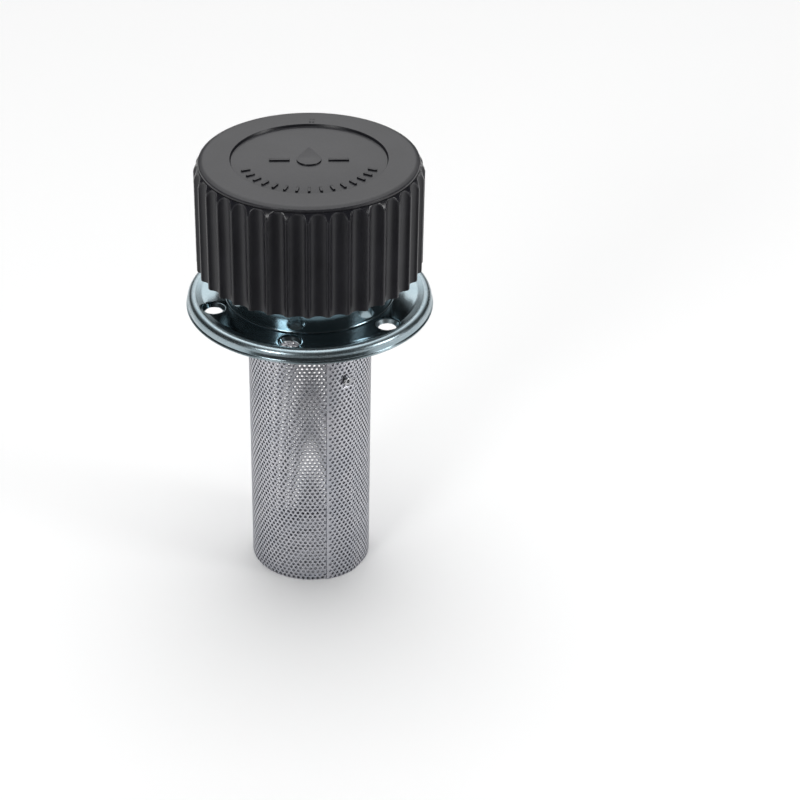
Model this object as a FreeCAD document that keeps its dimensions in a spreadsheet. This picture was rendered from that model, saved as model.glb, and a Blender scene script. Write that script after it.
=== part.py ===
import FreeCAD, Part
import math
import os
import re
import Sketcher
from FreeCAD import Placement, Rotation, Vector

# Tank filler breather: fluted cap with air filter, pressed flange, perforated strainer.
# The origin is the centre of the flange seat (underside of the flange), +Z up.

os.makedirs("parts", exist_ok=True)
doc = FreeCAD.newDocument("FillerBreather")

# Driving dimensions in millimetres, angles in degrees. A size that starts with = follows others.
SIZES = {
    # flange sheet
    "sheet_wall": 1.5,
    "flange_r": 43.2,
    "lip_reach": 0.5,
    "skirt_r": "=flange_r - lip_reach",
    "skirt_drop": 2.3,
    "lip_height": 0.8,
    "rim_width": 3.2,
    "bead_r": "=flange_r - rim_width",
    "bead_rise": 0.8,
    "bead_slope": 2.4,
    "floor_r": "=bead_r - bead_slope",
    "hole_inset": 8.2,
    "bolt_circle": "=2 * (flange_r - hole_inset)",
    "fix_hole": 5.8,
    "fix_sink": 8.4,
    "fix_count": 6,
    "flange_turn": 18.9,
    "neck_inset": 14.0,
    "neck_r": "=flange_r - neck_inset",
    "neck_top": 16.0,
    "rim_reach": 4.6,
    "rim_r": "=neck_r - rim_reach",
    "neck_bend": 1.8,
    "foot_bend": 0.6,
    "rim_roll": 2.4,
    "notch_inset": 2.4,
    "notch_r": "=neck_r - notch_inset",
    "notch_width": 16.0,
    "tab_width": 3.0,
    "tab_drop": 3.0,
    "tab_side": 1.2,
    # cap moulding
    "cap_inset": 4.0,
    "cap_r": "=flange_r - cap_inset",
    "cap_bottom": 12.9,
    "cap_top": 53.2,
    "shoulder_run": 1.7,
    "lid_r": "=cap_r - shoulder_run",
    "lid_thick": 1.6,
    "lid_edge": 0.7,
    "lid_groove": 0.25,
    "shoulder_drop": 5.0,
    "cap_wall": 3.8,
    "cap_inner_r": "=cap_r - cap_wall",
    "cap_roof": 2.5,
    "lid_band": 11.0,
    "recess_r": "=lid_r - lid_band",
    "recess_depth": 1.0,
    "flute_count": 36,
    "flute_depth": 1.8,
    "flute_r": 3.5,
    "arch_drop": 1.6,
    "flute_turn": 4.2,
    "boss_r": 9.0,
    "rib_count": 6,
    "rib_thick": 1.6,
    "rib_drop": 25.0,
    # relief on the lid
    "tick_inset": 2.4,
    "tick_r": "=recess_r - tick_inset",
    "tick_long": 3.2,
    "tick_wide": 0.9,
    "tick_high": 0.5,
    "tick_count": 15,
    "tick_pitch": 10.0,
    "tick_start": 195.8,
    "drop_r": 4.2,
    "drop_tip": 9.5,
    "drop_turn": 85.8,
    # stud, nuts and washers
    "stud_r": 3.0,
    "stud_grip": 4.2,
    "stud_end": 1.6,
    "flat_depth": 0.5,
    "stud_fit": 0.05,
    "nut_flats": 10.0,
    "nut_height": 5.0,
    "nut_bevel": 0.6,
    "washer_r": 6.0,
    "washer_thick": 1.0,
    "hole_play": 0.2,
    # filter element
    "element_play": 4.2,
    "element_r": "=cap_inner_r - element_play",
    "disc_thick": 0.8,
    "disc_edge": 2.4,
    "disc_hole_r": 14.0,
    "element_height": 21.0,
    "core_r": 20.3,
    "core_wall": 0.8,
    "core_hole_r": 2.2,
    "paper_inset": 1.2,
    "paper_outer_r": "=element_r - paper_inset",
    "paper_play": 0.4,
    "paper_inner_r": "=core_r + paper_play",
    "paper_thick": 0.45,
    "fold_wide": 1.0,
    "pleat_count": 60,
    "seal_thick": 1.2,
    "felt_thick": 2.0,
    "felt_wide": 5.0,
    # base plate and splash guard
    "plate_thick": 1.2,
    "plate_play": 2.0,
    "plate_r": "=cap_inner_r - plate_play",
    "plate_edge": 3.0,
    "air_hole_r": 2.5,
    "air_circle_r": 11.2,
    "air_count": 8,
    "guard_thick": 0.8,
    "guard_inset": 4.1,
    "guard_r": "=rim_r - guard_inset",
    "guard_hub_r": 7.0,
    "guard_drop": 2.8,
    # cap seal
    "cap_seal_thick": 2.2,
    "cap_seal_wide": 3.6,
    "cap_seal_inset": 0.8,
    # bayonet bridge and spring
    "bridge_thick": 1.5,
    "bridge_width": 14.0,
    "bridge_play": 0.3,
    "lug_play": 0.6,
    "lug_r": "=notch_r - lug_play",
    "lug_gap": 0.3,
    "lug_long": 9.2,
    "arm_r": "=lug_r - lug_long",
    "arm_run": 3.5,
    "wire_r": 0.6,
    "coil_r": 5.0,
    "coil_turns": 4,
    "spring_length": 8.6,
    "spring_play": 0.1,
    # strainer
    "strainer_inset": 7.4,
    "strainer_r": "=neck_r - strainer_inset",
    "strainer_wall": 0.5,
    "strainer_drop": 108.1,
    "collar_thick": 1.0,
    "collar_height": 7.0,
    "collar_play": 0.05,
    "collar_spigot": 2.5,
    "bottom_edge": 3.0,
    "bottom_bend": 1.0,
    "gap_share": 0.156,
    "gap_r": "=strainer_r * gap_share",
    "gap_columns": 12,
    "gap_rows": 8,
    "gap_margin": 8.0,
    "floor_gap_share": 0.119,
    "floor_gap_r": "=strainer_r * floor_gap_share",
    "floor_outer_share": 0.665,
    "floor_outer_r": "=strainer_r * floor_outer_share",
    "floor_outer_count": 12,
    "floor_inner_share": 0.298,
    "floor_inner_r": "=strainer_r * floor_inner_share",
    "floor_inner_count": 5,
    "collar_fold": 1.5,
    "lap_before": 21.8,
    "lap_after": 5.2,
    "rivet_turn": 306.8,
    "rivet_drop": 24.3,
    "rivet_r": 1.0,
    "rivet_head_r": 1.7,
    "rivet_head": 0.5,
    "rivet_play": 0.08,
}

sheet = doc.addObject("Spreadsheet::Sheet", "Sizes")
for row, (alias, size) in enumerate(SIZES.items(), start=1):
    sheet.set("A%d" % row, alias)
    sheet.set("B%d" % row, str(size))
    sheet.setAlias("B%d" % row, alias)
doc.recompute()


# A formula names cells by their bare alias; this adds the name of the sheet to each
def bound(formula):
    def named(word):
        return "Sizes." + word.group() if word.group() in SIZES else word.group()
    return re.sub(r"[a-z_]+", named, formula)


def value(formula):
    return float(sheet.evalExpression(bound(formula)))


# Levels that several pieces share, from the neck upwards and from the cap's roof downwards
PLATE_UNDER = "(neck_top + cap_seal_thick)"
PLATE_TOP = "(neck_top + cap_seal_thick + plate_thick)"
ELEMENT_UNDER = "(neck_top + cap_seal_thick + plate_thick + felt_thick)"
ELEMENT_TOP = "(neck_top + cap_seal_thick + plate_thick + felt_thick + element_height + 2 * disc_thick)"
ROOF_UNDER = "(cap_top - recess_depth - cap_roof)"
BOSS_UNDER = "(%s + seal_thick)" % ELEMENT_TOP
WASHER_UNDER = "(%s - guard_thick - washer_thick)" % PLATE_UNDER
NUT_UNDER = "(%s - guard_thick - washer_thick - nut_height)" % PLATE_UNDER
LUG_TOP = "(neck_top - sheet_wall - lug_gap)"
BRIDGE_TOP = "(%s - guard_thick - washer_thick - nut_height - bridge_play)" % PLATE_UNDER
BRIDGE_UNDER = "(%s - bridge_thick)" % BRIDGE_TOP
COIL_UNDER = "(%s - spring_length)" % BRIDGE_UNDER
LOCK_TOP = "(%s - washer_thick)" % COIL_UNDER
LOCK_UNDER = "(%s - washer_thick - nut_height)" % COIL_UNDER
STUD_BOTTOM = "(%s - washer_thick - nut_height - stud_end)" % COIL_UNDER
STUD_TOP = "(%s + stud_grip)" % BOSS_UNDER


def new_body(label):
    body = doc.addObject("PartDesign::Body", label)
    body.Label = label
    return body


def origin_feature(body, role):
    return [item for item in body.Origin.OriginFeatures if item.Role == role][0]


# Sketch on an origin plane, moved along its normal and turned about one of its own axes
def new_sketch(body, role, height="0", turn="0", turn_axis=Vector(0, 0, 1)):
    sketch = body.newObject("Sketcher::SketchObject", body.Name + "_sketch")
    sketch.AttachmentSupport = (origin_feature(body, role), [""])
    sketch.MapMode = "FlatFace"
    sketch.AttachmentOffset = Placement(Vector(0, 0, value(height)), Rotation(turn_axis, value(turn)))
    sketch.setExpression("AttachmentOffset.Base.z", bound(height))
    if turn != "0":
        sketch.setExpression("AttachmentOffset.Rotation.Angle", bound(turn))
    return sketch


# Pin one sketch point to a place that the sheet gives
def pin(sketch, geometry, point, x_formula, y_formula):
    for kind, formula in (("DistanceX", x_formula), ("DistanceY", y_formula)):
        index = sketch.addConstraint(Sketcher.Constraint(kind, -1, 1, geometry, point, value(formula)))
        sketch.setExpression("Constraints[%d]" % index, bound(formula))


# Closed outline through corners that are pairs of formulas
def outline(sketch, corners):
    first = sketch.GeometryCount
    spots = [Vector(value(x), value(y), 0) for x, y in corners]
    for start, end in zip(spots, spots[1:] + spots[:1]):
        sketch.addGeometry(Part.LineSegment(start, end), False)
    last = sketch.GeometryCount - 1
    for index in range(first, last + 1):
        following = index + 1 if index < last else first
        sketch.addConstraint(Sketcher.Constraint("Coincident", index, 2, following, 1))
    for index, (x, y) in enumerate(corners):
        pin(sketch, first + index, 1, x, y)
    return sketch


def ring(sketch, x, y, radius):
    index = sketch.addGeometry(Part.Circle(Vector(value(x), value(y), 0), Vector(0, 0, 1), value(radius)), False)
    pin(sketch, index, 3, x, y)
    limit = sketch.addConstraint(Sketcher.Constraint("Radius", index, value(radius)))
    sketch.setExpression("Constraints[%d]" % limit, bound(radius))
    return sketch


def revolve(body, corners):
    sketch = outline(new_sketch(body, "XZ_Plane"), corners)
    turned = body.newObject("PartDesign::Revolution", body.Name + "_turned")
    turned.Profile = (sketch, [""])
    turned.ReferenceAxis = (sketch, ["V_Axis"])
    turned.Angle = 360
    doc.recompute()
    return turned


def pad(body, sketch, length, reverse=False):
    feature = body.newObject("PartDesign::Pad", body.Name + "_pad")
    feature.Profile = (sketch, [""])
    feature.setExpression("Length", bound(length))
    feature.Reversed = reverse
    doc.recompute()
    return feature


# A pocket takes material away, so the volume has to fall
def pocket(body, sketch, length, reverse=False):
    before = body.Shape.Volume
    feature = body.newObject("PartDesign::Pocket", body.Name + "_pocket")
    feature.Profile = (sketch, [""])
    feature.setExpression("Length", bound(length))
    feature.Reversed = reverse
    doc.recompute()
    if feature.Shape.Volume > before - 1e-6:
        raise ValueError(body.Label + ": pocket cuts nothing")
    return feature


# Repeat features about the vertical axis of the piece
def around(body, originals, count, angle="360"):
    pattern = body.newObject("PartDesign::PolarPattern", body.Name + "_pattern")
    pattern.Originals = originals
    pattern.Axis = (origin_feature(body, "Z_Axis"), [""])
    pattern.setExpression("Angle", bound(angle))
    pattern.setExpression("Occurrences", bound(count))
    body.Tip = pattern
    doc.recompute()
    return pattern


# Round the circular edges about the Z axis that lie at the given radius and height
def round_edges(body, spots, bend):
    base = body.Tip
    names = []
    for radius, height in spots:
        for index, edge in enumerate(base.Shape.Edges, start=1):
            curve = edge.Curve
            if not isinstance(curve, Part.Circle) or abs(curve.Radius - value(radius)) > 1e-4:
                continue
            if abs(curve.Center.z - value(height)) < 1e-4 and math.hypot(curve.Center.x, curve.Center.y) < 1e-4:
                names.append("Edge%d" % index)
    fillet = body.newObject("PartDesign::Fillet", body.Name + "_fillet")
    fillet.Base = (base, names)
    fillet.setExpression("Radius", bound(bend))
    doc.recompute()
    return fillet


# Flat ring or washer turned about the Z axis
def washer(label, inner, outer, under, top):
    body = new_body(label)
    revolve(body, [(inner, under), (outer, under), (outer, top), (inner, top)])
    return body


# Flange: one drawn sheet with rolled rim, neck and inward rim
def make_flange_plate():
    body = new_body("flange_plate")
    inner_neck = "neck_r - sheet_wall"
    inner_skirt = "skirt_r - sheet_wall"
    revolve(body, [
        ("rim_r", "neck_top - sheet_wall"),
        (inner_neck, "neck_top - sheet_wall"),
        (inner_neck, "0"),
        ("floor_r", "0"),
        ("bead_r", "bead_rise"),
        (inner_skirt, "bead_rise"),
        (inner_skirt, "lip_height - skirt_drop"),
        ("skirt_r - lip_height", "-skirt_drop"),
        ("flange_r", "-skirt_drop"),
        ("skirt_r", "lip_height - skirt_drop"),
        ("skirt_r", "sheet_wall + bead_rise"),
        ("bead_r", "sheet_wall + bead_rise"),
        ("floor_r", "sheet_wall"),
        ("neck_r", "sheet_wall"),
        ("neck_r", "neck_top"),
        ("rim_r", "neck_top"),
    ])
    round_edges(body, [("neck_r", "neck_top")], "neck_bend")
    round_edges(body, [(inner_neck, "neck_top - sheet_wall")], "neck_bend - sheet_wall")
    round_edges(body, [("neck_r", "sheet_wall")], "foot_bend")
    round_edges(body, [(inner_neck, "0")], "foot_bend + sheet_wall")
    round_edges(body, [("skirt_r", "sheet_wall + bead_rise")], "rim_roll")
    round_edges(body, [(inner_skirt, "bead_rise")], "rim_roll - sheet_wall")

    # the countersinks start at the bead's height, so that they clear its slope too
    hole_sketch = new_sketch(body, "XY_Plane", "sheet_wall + bead_rise")
    ring(hole_sketch, "bolt_circle / 2", "0", "fix_hole / 2")
    doc.recompute()
    hole = body.newObject("PartDesign::Hole", "fixing_hole")
    hole.Profile = (hole_sketch, [""])
    hole.ThreadType = "None"
    hole.DepthType = "Dimension"
    hole.setExpression("Depth", bound("2 * sheet_wall + bead_rise"))
    hole.setExpression("Diameter", bound("fix_hole"))
    hole.HoleCutType = "Countersink"
    hole.HoleCutCustomValues = True
    hole.setExpression("HoleCutDiameter", bound("fix_sink + 2 * bead_rise"))
    hole.HoleCutCountersinkAngle = 90
    doc.recompute()
    around(body, [hole], "fix_count")

    notch = new_sketch(body, "XY_Plane", "neck_top")
    side = "notch_width / 2"
    outline(notch, [("rim_r - sheet_wall * 2", "-" + side), ("notch_r", "-" + side),
                    ("notch_r", side), ("rim_r - sheet_wall * 2", side)])
    around(body, [pocket(body, notch, "sheet_wall * 1.2")], "2")

    # stop tabs are cut from the rim's edge and folded down, where the lug ends its turn
    tab = new_sketch(body, "YZ_Plane", "tab_side")
    inner, outer = "rim_r", "rim_r + sheet_wall"
    low, high = "neck_top - sheet_wall - tab_drop", "neck_top - sheet_wall / 2"
    outline(tab, [(inner, low), (outer, low), (outer, high), (inner, high)])
    feature = pad(body, tab, "tab_width")
    around(body, [feature], "2")
    body.setExpression("Placement.Rotation.Angle", bound("flange_turn"))
    return body


# Cap: lid, shoulder, flutes, recess, centre boss and ribs in one moulding
def make_cap_cover():
    body = new_body("cap_cover")
    line = "cap_top - lid_thick"
    revolve(body, [
        ("stud_r", STUD_TOP),
        ("0", STUD_TOP),
        ("0", "cap_top - recess_depth"),
        ("recess_r", "cap_top - recess_depth"),
        ("recess_r", "cap_top"),
        ("lid_r - lid_edge * 2", "cap_top"),
        ("lid_r", "cap_top - lid_edge"),
        ("lid_r", line),
        ("lid_r - lid_groove", line),
        ("lid_r - lid_groove", line + " - lid_groove"),
        ("lid_r + lid_groove", line + " - lid_groove"),
        ("cap_r", "cap_top - shoulder_drop"),
        ("cap_r", "cap_bottom"),
        ("cap_inner_r", "cap_bottom"),
        ("cap_inner_r", ROOF_UNDER),
        ("boss_r", ROOF_UNDER),
        ("boss_r", BOSS_UNDER),
        ("stud_r", BOSS_UNDER),
    ])

    # one flute is a round-ended groove turned about an upright line outside the cap
    flute = new_sketch(body, "XZ_Plane")
    centre = "(cap_r - flute_depth + flute_r)"
    start, side = "cap_bottom - 1", centre + " - flute_r"
    top = "(cap_top - lid_thick - lid_groove - arch_drop)"
    low = flute.addGeometry(Part.LineSegment(Vector(value(centre), value(start), 0),
                                             Vector(value(side), value(start), 0)), False)
    up = flute.addGeometry(Part.LineSegment(Vector(value(side), value(start), 0),
                                            Vector(value(side), value(top), 0)), False)
    arch = flute.addGeometry(Part.ArcOfCircle(
        Part.Circle(Vector(value(centre), value(top), 0), Vector(0, 0, 1), value("flute_r")),
        math.pi / 2, math.pi), False)
    axis = flute.addGeometry(Part.LineSegment(Vector(value(centre), value(top + " + flute_r"), 0),
                                              Vector(value(centre), value(start), 0)), False)
    for one, one_end, other, other_end in ((low, 2, up, 1), (up, 2, arch, 2), (arch, 1, axis, 1), (axis, 2, low, 1)):
        flute.addConstraint(Sketcher.Constraint("Coincident", one, one_end, other, other_end))
    pin(flute, low, 1, centre, start)
    pin(flute, up, 1, side, start)
    pin(flute, up, 2, side, top)
    pin(flute, axis, 1, centre, top + " + flute_r")
    limit = flute.addConstraint(Sketcher.Constraint("Radius", arch, value("flute_r")))
    flute.setExpression("Constraints[%d]" % limit, bound("flute_r"))
    groove = body.newObject("PartDesign::Groove", "flute")
    groove.Profile = (flute, [""])
    groove.ReferenceAxis = (flute, ["Edge%d" % (axis + 1)])
    groove.Angle = 360
    doc.recompute()
    around(body, [groove], "flute_count")

    # inner ribs keep the element central
    rib = new_sketch(body, "XY_Plane", ROOF_UNDER)
    inner, outer = "element_r + bridge_play", "cap_inner_r + cap_roof / 4"
    outline(rib, [(inner, "-rib_thick / 2"), (outer, "-rib_thick / 2"),
                  (outer, "rib_thick / 2"), (inner, "rib_thick / 2")])
    around(body, [pad(body, rib, "rib_drop", True)], "rib_count")

    # raised oil drop in the middle: a disc with a pointed tip
    level = "cap_top - recess_depth"
    pad(body, ring(new_sketch(body, "XY_Plane", level), "0", "0", "drop_r"), "tick_high")
    tip = new_sketch(body, "XY_Plane", level, "drop_turn")
    near, side = "drop_r ^ 2 / drop_tip", "drop_r * sqrt(1 - (drop_r / drop_tip) ^ 2)"
    outline(tip, [("0", "0"), (near, "-" + side), ("drop_tip", "0"), (near, side)])
    pad(body, tip, "tick_high")

    # raised ticks along the lower arc of the recess
    tick = new_sketch(body, "XY_Plane", level, "tick_start")
    outline(tick, [("tick_r - tick_long", "-tick_wide / 2"), ("tick_r", "-tick_wide / 2"),
                   ("tick_r", "tick_wide / 2"), ("tick_r - tick_long", "tick_wide / 2")])
    around(body, [pad(body, tick, "tick_high")], "tick_count", "tick_pitch * (tick_count - 1)")
    body.setExpression("Placement.Rotation.Angle", bound("flute_turn"))
    return body


def make_centre_stud():
    body = new_body("centre_stud")
    tip = "stud_r - nut_bevel"
    reach = "stud_r - stud_fit"
    revolve(body, [
        ("0", STUD_BOTTOM), (tip, STUD_BOTTOM), (reach, STUD_BOTTOM + " + nut_bevel"),
        (reach, STUD_TOP), ("0", STUD_TOP),
    ])
    # two flats keep the bayonet bridge from turning on the stud
    flat = new_sketch(body, "XY_Plane", LOCK_TOP)
    outline(flat, [("stud_r - flat_depth", "-stud_r"), ("stud_r + 1", "-stud_r"),
                   ("stud_r + 1", "stud_r"), ("stud_r - flat_depth", "stud_r")])
    around(body, [pocket(body, flat, "%s - %s" % (NUT_UNDER, LOCK_TOP), True)], "2")
    body.setExpression("Placement.Rotation.Angle", bound("flange_turn"))
    return body


# Hexagon nut with bevelled corners
def make_nut(label, under):
    body = new_body(label)
    sketch = new_sketch(body, "XY_Plane", under)
    corner = "nut_flats / sqrt(3)"
    outline(sketch, [("%s * cos(%d)" % (corner, angle), "%s * sin(%d)" % (corner, angle))
                     for angle in range(0, 360, 60)])
    ring(sketch, "0", "0", "stud_r + stud_fit")
    pad(body, sketch, "nut_height")
    # the bevel leaves a round face as wide as the flats
    for face, inward in ((under, 1), ("(%s + nut_height)" % under, -1)):
        bevel = new_sketch(body, "XZ_Plane")
        past = "(%s + nut_bevel)" % corner
        level = "%s + %d * nut_bevel" % (face, inward)
        beyond = "%s - %d * nut_bevel" % (face, inward)
        outline(bevel, [("nut_flats / 2 - nut_bevel / 2", face), (past, level), (past, beyond),
                        ("nut_flats / 2 - nut_bevel / 2", beyond)])
        groove = body.newObject("PartDesign::Groove", label + "_bevel")
        groove.Profile = (bevel, [""])
        groove.ReferenceAxis = (bevel, ["V_Axis"])
        groove.Angle = 360
        doc.recompute()
    return body


# Pressed end disc of the element: flat ring with an edge turned over the paper
def make_filter_disc(label, hole, face, inward):
    body = new_body(label)
    inside = "%s %s disc_thick" % (face, inward)
    edge = "%s %s disc_edge" % (face, inward)
    corners = [(hole, face), ("element_r", face), ("element_r", edge), ("element_r - disc_thick", edge),
               ("element_r - disc_thick", inside), (hole, inside)]
    revolve(body, corners)
    return body


# Pleated paper: a closed folded band stood upright between the end discs
def make_filter_paper():
    count = int(value("pleat_count"))
    step = 2 * math.pi / count
    rims = []
    for grow in (value("paper_thick") / 2, -value("paper_thick") / 2):
        outer = value("paper_outer_r") + grow
        inner = value("paper_inner_r") + grow
        peak = (value("fold_wide") / 2 + grow) / outer
        valley = (value("fold_wide") / 2 - grow) / inner
        spots = []
        for index in range(count):
            middle = index * step
            for radius, angle in ((outer, middle - peak), (outer, middle + peak),
                                  (inner, middle + step / 2 - valley), (inner, middle + step / 2 + valley)):
                spots.append(Vector(radius * math.cos(angle), radius * math.sin(angle), 0))
        rims.append(Part.Face(Part.makePolygon(spots + spots[:1])))
    band = rims[0].cut(rims[1]).extrude(Vector(0, 0, value("element_height")))
    paper = doc.addObject("Part::Feature", "filter_paper")
    paper.Label = "filter_paper"
    paper.Shape = band
    paper.Placement = Placement(Vector(0, 0, value(ELEMENT_UNDER + " + disc_thick")), Rotation())
    return paper


# Core tube with three rows of round holes
def make_filter_core():
    low = ELEMENT_UNDER + " + disc_thick"
    body = washer("filter_core", "core_r - core_wall", "core_r", low, low + " + element_height")
    drill = new_sketch(body, "YZ_Plane", "0")
    for share in (0.25, 0.5, 0.75):
        ring(drill, "0", "%s + %s * element_height" % (low, share), "core_hole_r")
    around(body, [pocket(body, drill, "core_r + core_wall", True)], "12")
    return body


def make_base_plate():
    body = new_body("base_plate")
    hole = "stud_r + hole_play"
    edge = "plate_r - plate_thick"
    revolve(body, [
        (hole, PLATE_UNDER), ("plate_r", PLATE_UNDER), ("plate_r", PLATE_TOP + " + plate_edge"),
        (edge, PLATE_TOP + " + plate_edge"), (edge, PLATE_TOP), (hole, PLATE_TOP),
    ])
    round_edges(body, [("plate_r", PLATE_UNDER)], "plate_thick")
    air = ring(new_sketch(body, "XY_Plane", PLATE_UNDER), "air_circle_r", "0", "air_hole_r")
    around(body, [pocket(body, air, "plate_thick * 2", True)], "air_count")
    return body


# Dish under the air holes: flat hub, cone, flat brim
def make_splash_guard():
    body = new_body("splash_guard")
    hole = "stud_r + hole_play"
    slope = "guard_hub_r + guard_drop"
    brim = PLATE_UNDER + " - guard_drop"
    revolve(body, [
        (hole, PLATE_UNDER + " - guard_thick"), ("guard_hub_r - guard_thick / 2", PLATE_UNDER + " - guard_thick"),
        (slope + " - guard_thick / 2", brim + " - guard_thick"), ("guard_r", brim + " - guard_thick"),
        ("guard_r", brim), (slope, brim), ("guard_hub_r", PLATE_UNDER), (hole, PLATE_UNDER),
    ])
    return body


# Bayonet bridge: a bar bent down in the middle, with a lug at each end
def make_bayonet_bridge():
    body = new_body("bayonet_bridge")
    side = new_sketch(body, "XZ_Plane")
    rise = "arm_r + arm_run"
    under = LUG_TOP + " - bridge_thick"
    outline(side, [
        ("-lug_r", LUG_TOP), ("-lug_r", under), ("-(%s)" % rise, under), ("-arm_r", BRIDGE_UNDER),
        ("arm_r", BRIDGE_UNDER), (rise, under), ("lug_r", under), ("lug_r", LUG_TOP),
        (rise, LUG_TOP), ("arm_r", BRIDGE_TOP), ("-arm_r", BRIDGE_TOP), ("-(%s)" % rise, LUG_TOP),
    ])
    bar = body.newObject("PartDesign::Pad", "bridge_bar")
    bar.Profile = (side, [""])
    bar.setExpression("Length", bound("bridge_width"))
    bar.SideType = "Symmetric"
    doc.recompute()
    # the hole follows the flats of the stud
    slot = new_sketch(body, "XY_Plane", BRIDGE_TOP)
    reach = "stud_r - flat_depth + stud_fit"
    outline(slot, [("-(%s)" % reach, "-stud_r - stud_fit"), (reach, "-stud_r - stud_fit"),
                   (reach, "stud_r + stud_fit"), ("-(%s)" % reach, "stud_r + stud_fit")])
    pocket(body, slot, "bridge_thick * 2")
    body.setExpression("Placement.Rotation.Angle", bound("flange_turn"))
    return body


# Coil spring between the bridge and the lower washer
def make_bayonet_spring():
    body = new_body("bayonet_spring")
    wire = ring(new_sketch(body, "XZ_Plane"), "coil_r", COIL_UNDER + " + wire_r + spring_play", "wire_r")
    coil = body.newObject("PartDesign::AdditiveHelix", "coil")
    coil.Profile = (wire, [""])
    coil.ReferenceAxis = (wire, ["V_Axis"])
    coil.Mode = "height-turns-angle"
    coil.setExpression("Height", bound("spring_length - 2 * wire_r - 2 * spring_play"))
    coil.setExpression("Turns", bound("coil_turns"))
    doc.recompute()
    return body


# Pressed collar: a wall in the neck, a flat step, and a spigot that the strainer hangs in
def make_strainer_collar():
    body = new_body("strainer_collar")
    outer = "neck_r - sheet_wall - collar_play"
    bore = "strainer_r + collar_play"
    revolve(body, [
        (bore, "-collar_spigot"), (bore + " + collar_thick", "-collar_spigot"),
        (bore + " + collar_thick", "foot_bend + sheet_wall"), (outer, "foot_bend + sheet_wall"),
        (outer, "foot_bend + sheet_wall + collar_height"),
        (outer + " - collar_thick", "foot_bend + sheet_wall + collar_height"),
        (outer + " - collar_thick", "foot_bend + sheet_wall + collar_thick"),
        (bore, "foot_bend + sheet_wall + collar_thick"),
    ])
    return body


# Strainer wall: rolled sheet with a lap seam, its top folded out over the collar. Large gaps
# stand for the fine perforation, with about the same open area, in staggered rows.
# Its own +X runs through the rivet of the seam.
def make_strainer_wall():
    body = new_body("strainer_wall")
    fold = "foot_bend + sheet_wall + collar_thick"
    inner = "strainer_r - strainer_wall"
    revolve(body, [
        (inner, "-strainer_drop"), ("strainer_r", "-strainer_drop"), ("strainer_r", fold),
        ("strainer_r + collar_fold", fold), ("strainer_r + collar_fold", fold + " + strainer_wall"),
        (inner, fold + " + strainer_wall"),
    ])
    outer = "strainer_r + strainer_wall"
    lap = outline(new_sketch(body, "XZ_Plane"), [
        ("strainer_r - strainer_wall / 2", "-strainer_drop"), (outer, "-strainer_drop"),
        (outer, "-collar_spigot - collar_thick"), ("strainer_r - strainer_wall / 2", "-collar_spigot - collar_thick"),
    ])
    layer = body.newObject("PartDesign::Revolution", "lap_layer")
    layer.Profile = (lap, [""])
    layer.ReferenceAxis = (lap, ["V_Axis"])
    layer.Type = "TwoAngles"
    layer.setExpression("Angle", bound("lap_before"))
    layer.setExpression("Angle2", bound("lap_after"))
    doc.recompute()

    shank = ring(new_sketch(body, "YZ_Plane"), "0", "-rivet_drop", "rivet_r + rivet_play")
    pocket(body, shank, "strainer_r * 2", True)
    span = "(strainer_drop - 2 * gap_margin - collar_spigot)"
    for stagger in (0, 1):
        turn = "%d * 180 / gap_columns" % stagger
        drill = new_sketch(body, "YZ_Plane", "0", turn, Vector(0, 1, 0))
        for index in range(stagger, int(value("gap_rows")), 2):
            level = "-gap_margin - collar_spigot - %s * %d / (gap_rows - 1)" % (span, index)
            ring(drill, "0", level, "gap_r")
        around(body, [pocket(body, drill, "strainer_r * 2", True)], "gap_columns")
    body.setExpression("Placement.Rotation.Angle", bound("rivet_turn"))
    return body


def make_strainer_bottom():
    body = new_body("strainer_bottom")
    outer = "strainer_r - strainer_wall - collar_play"
    inner = outer + " - strainer_wall"
    revolve(body, [
        ("0", "-strainer_drop"), (outer, "-strainer_drop"), (outer, "bottom_edge - strainer_drop"),
        (inner, "bottom_edge - strainer_drop"), (inner, "strainer_wall - strainer_drop"),
        ("0", "strainer_wall - strainer_drop"),
    ])
    round_edges(body, [(outer, "-strainer_drop")], "bottom_bend")
    for radius, count in (("floor_outer_r", "floor_outer_count"), ("floor_inner_r", "floor_inner_count")):
        drill = ring(new_sketch(body, "XY_Plane", "-strainer_drop"), radius, "0", "floor_gap_r")
        around(body, [pocket(body, drill, "strainer_wall * 2", True)], count)
    return body


# Rivet through the lap seam: shank with a head on each side
def make_seam_rivet():
    body = new_body("seam_rivet")
    grip = "2 * strainer_wall + 2 * rivet_play"
    revolve(body, [
        ("0", "-rivet_head"), ("rivet_head_r * 0.6", "-rivet_head"), ("rivet_head_r", "0"),
        ("rivet_r", "0"), ("rivet_r", grip), ("rivet_head_r", grip),
        ("rivet_head_r * 0.6", grip + " + rivet_head"), ("0", grip + " + rivet_head"),
    ])
    inner = "(strainer_r - strainer_wall - rivet_play)"
    body.Placement = Placement(Vector(), Rotation(Vector(0, 0, 1), value("rivet_turn")) * Rotation(Vector(0, 1, 0), 90))
    body.setExpression("Placement.Base.x", bound(inner + " * cos(rivet_turn)"))
    body.setExpression("Placement.Base.y", bound(inner + " * sin(rivet_turn)"))
    body.setExpression("Placement.Base.z", bound("-rivet_drop"))
    return body


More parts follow.
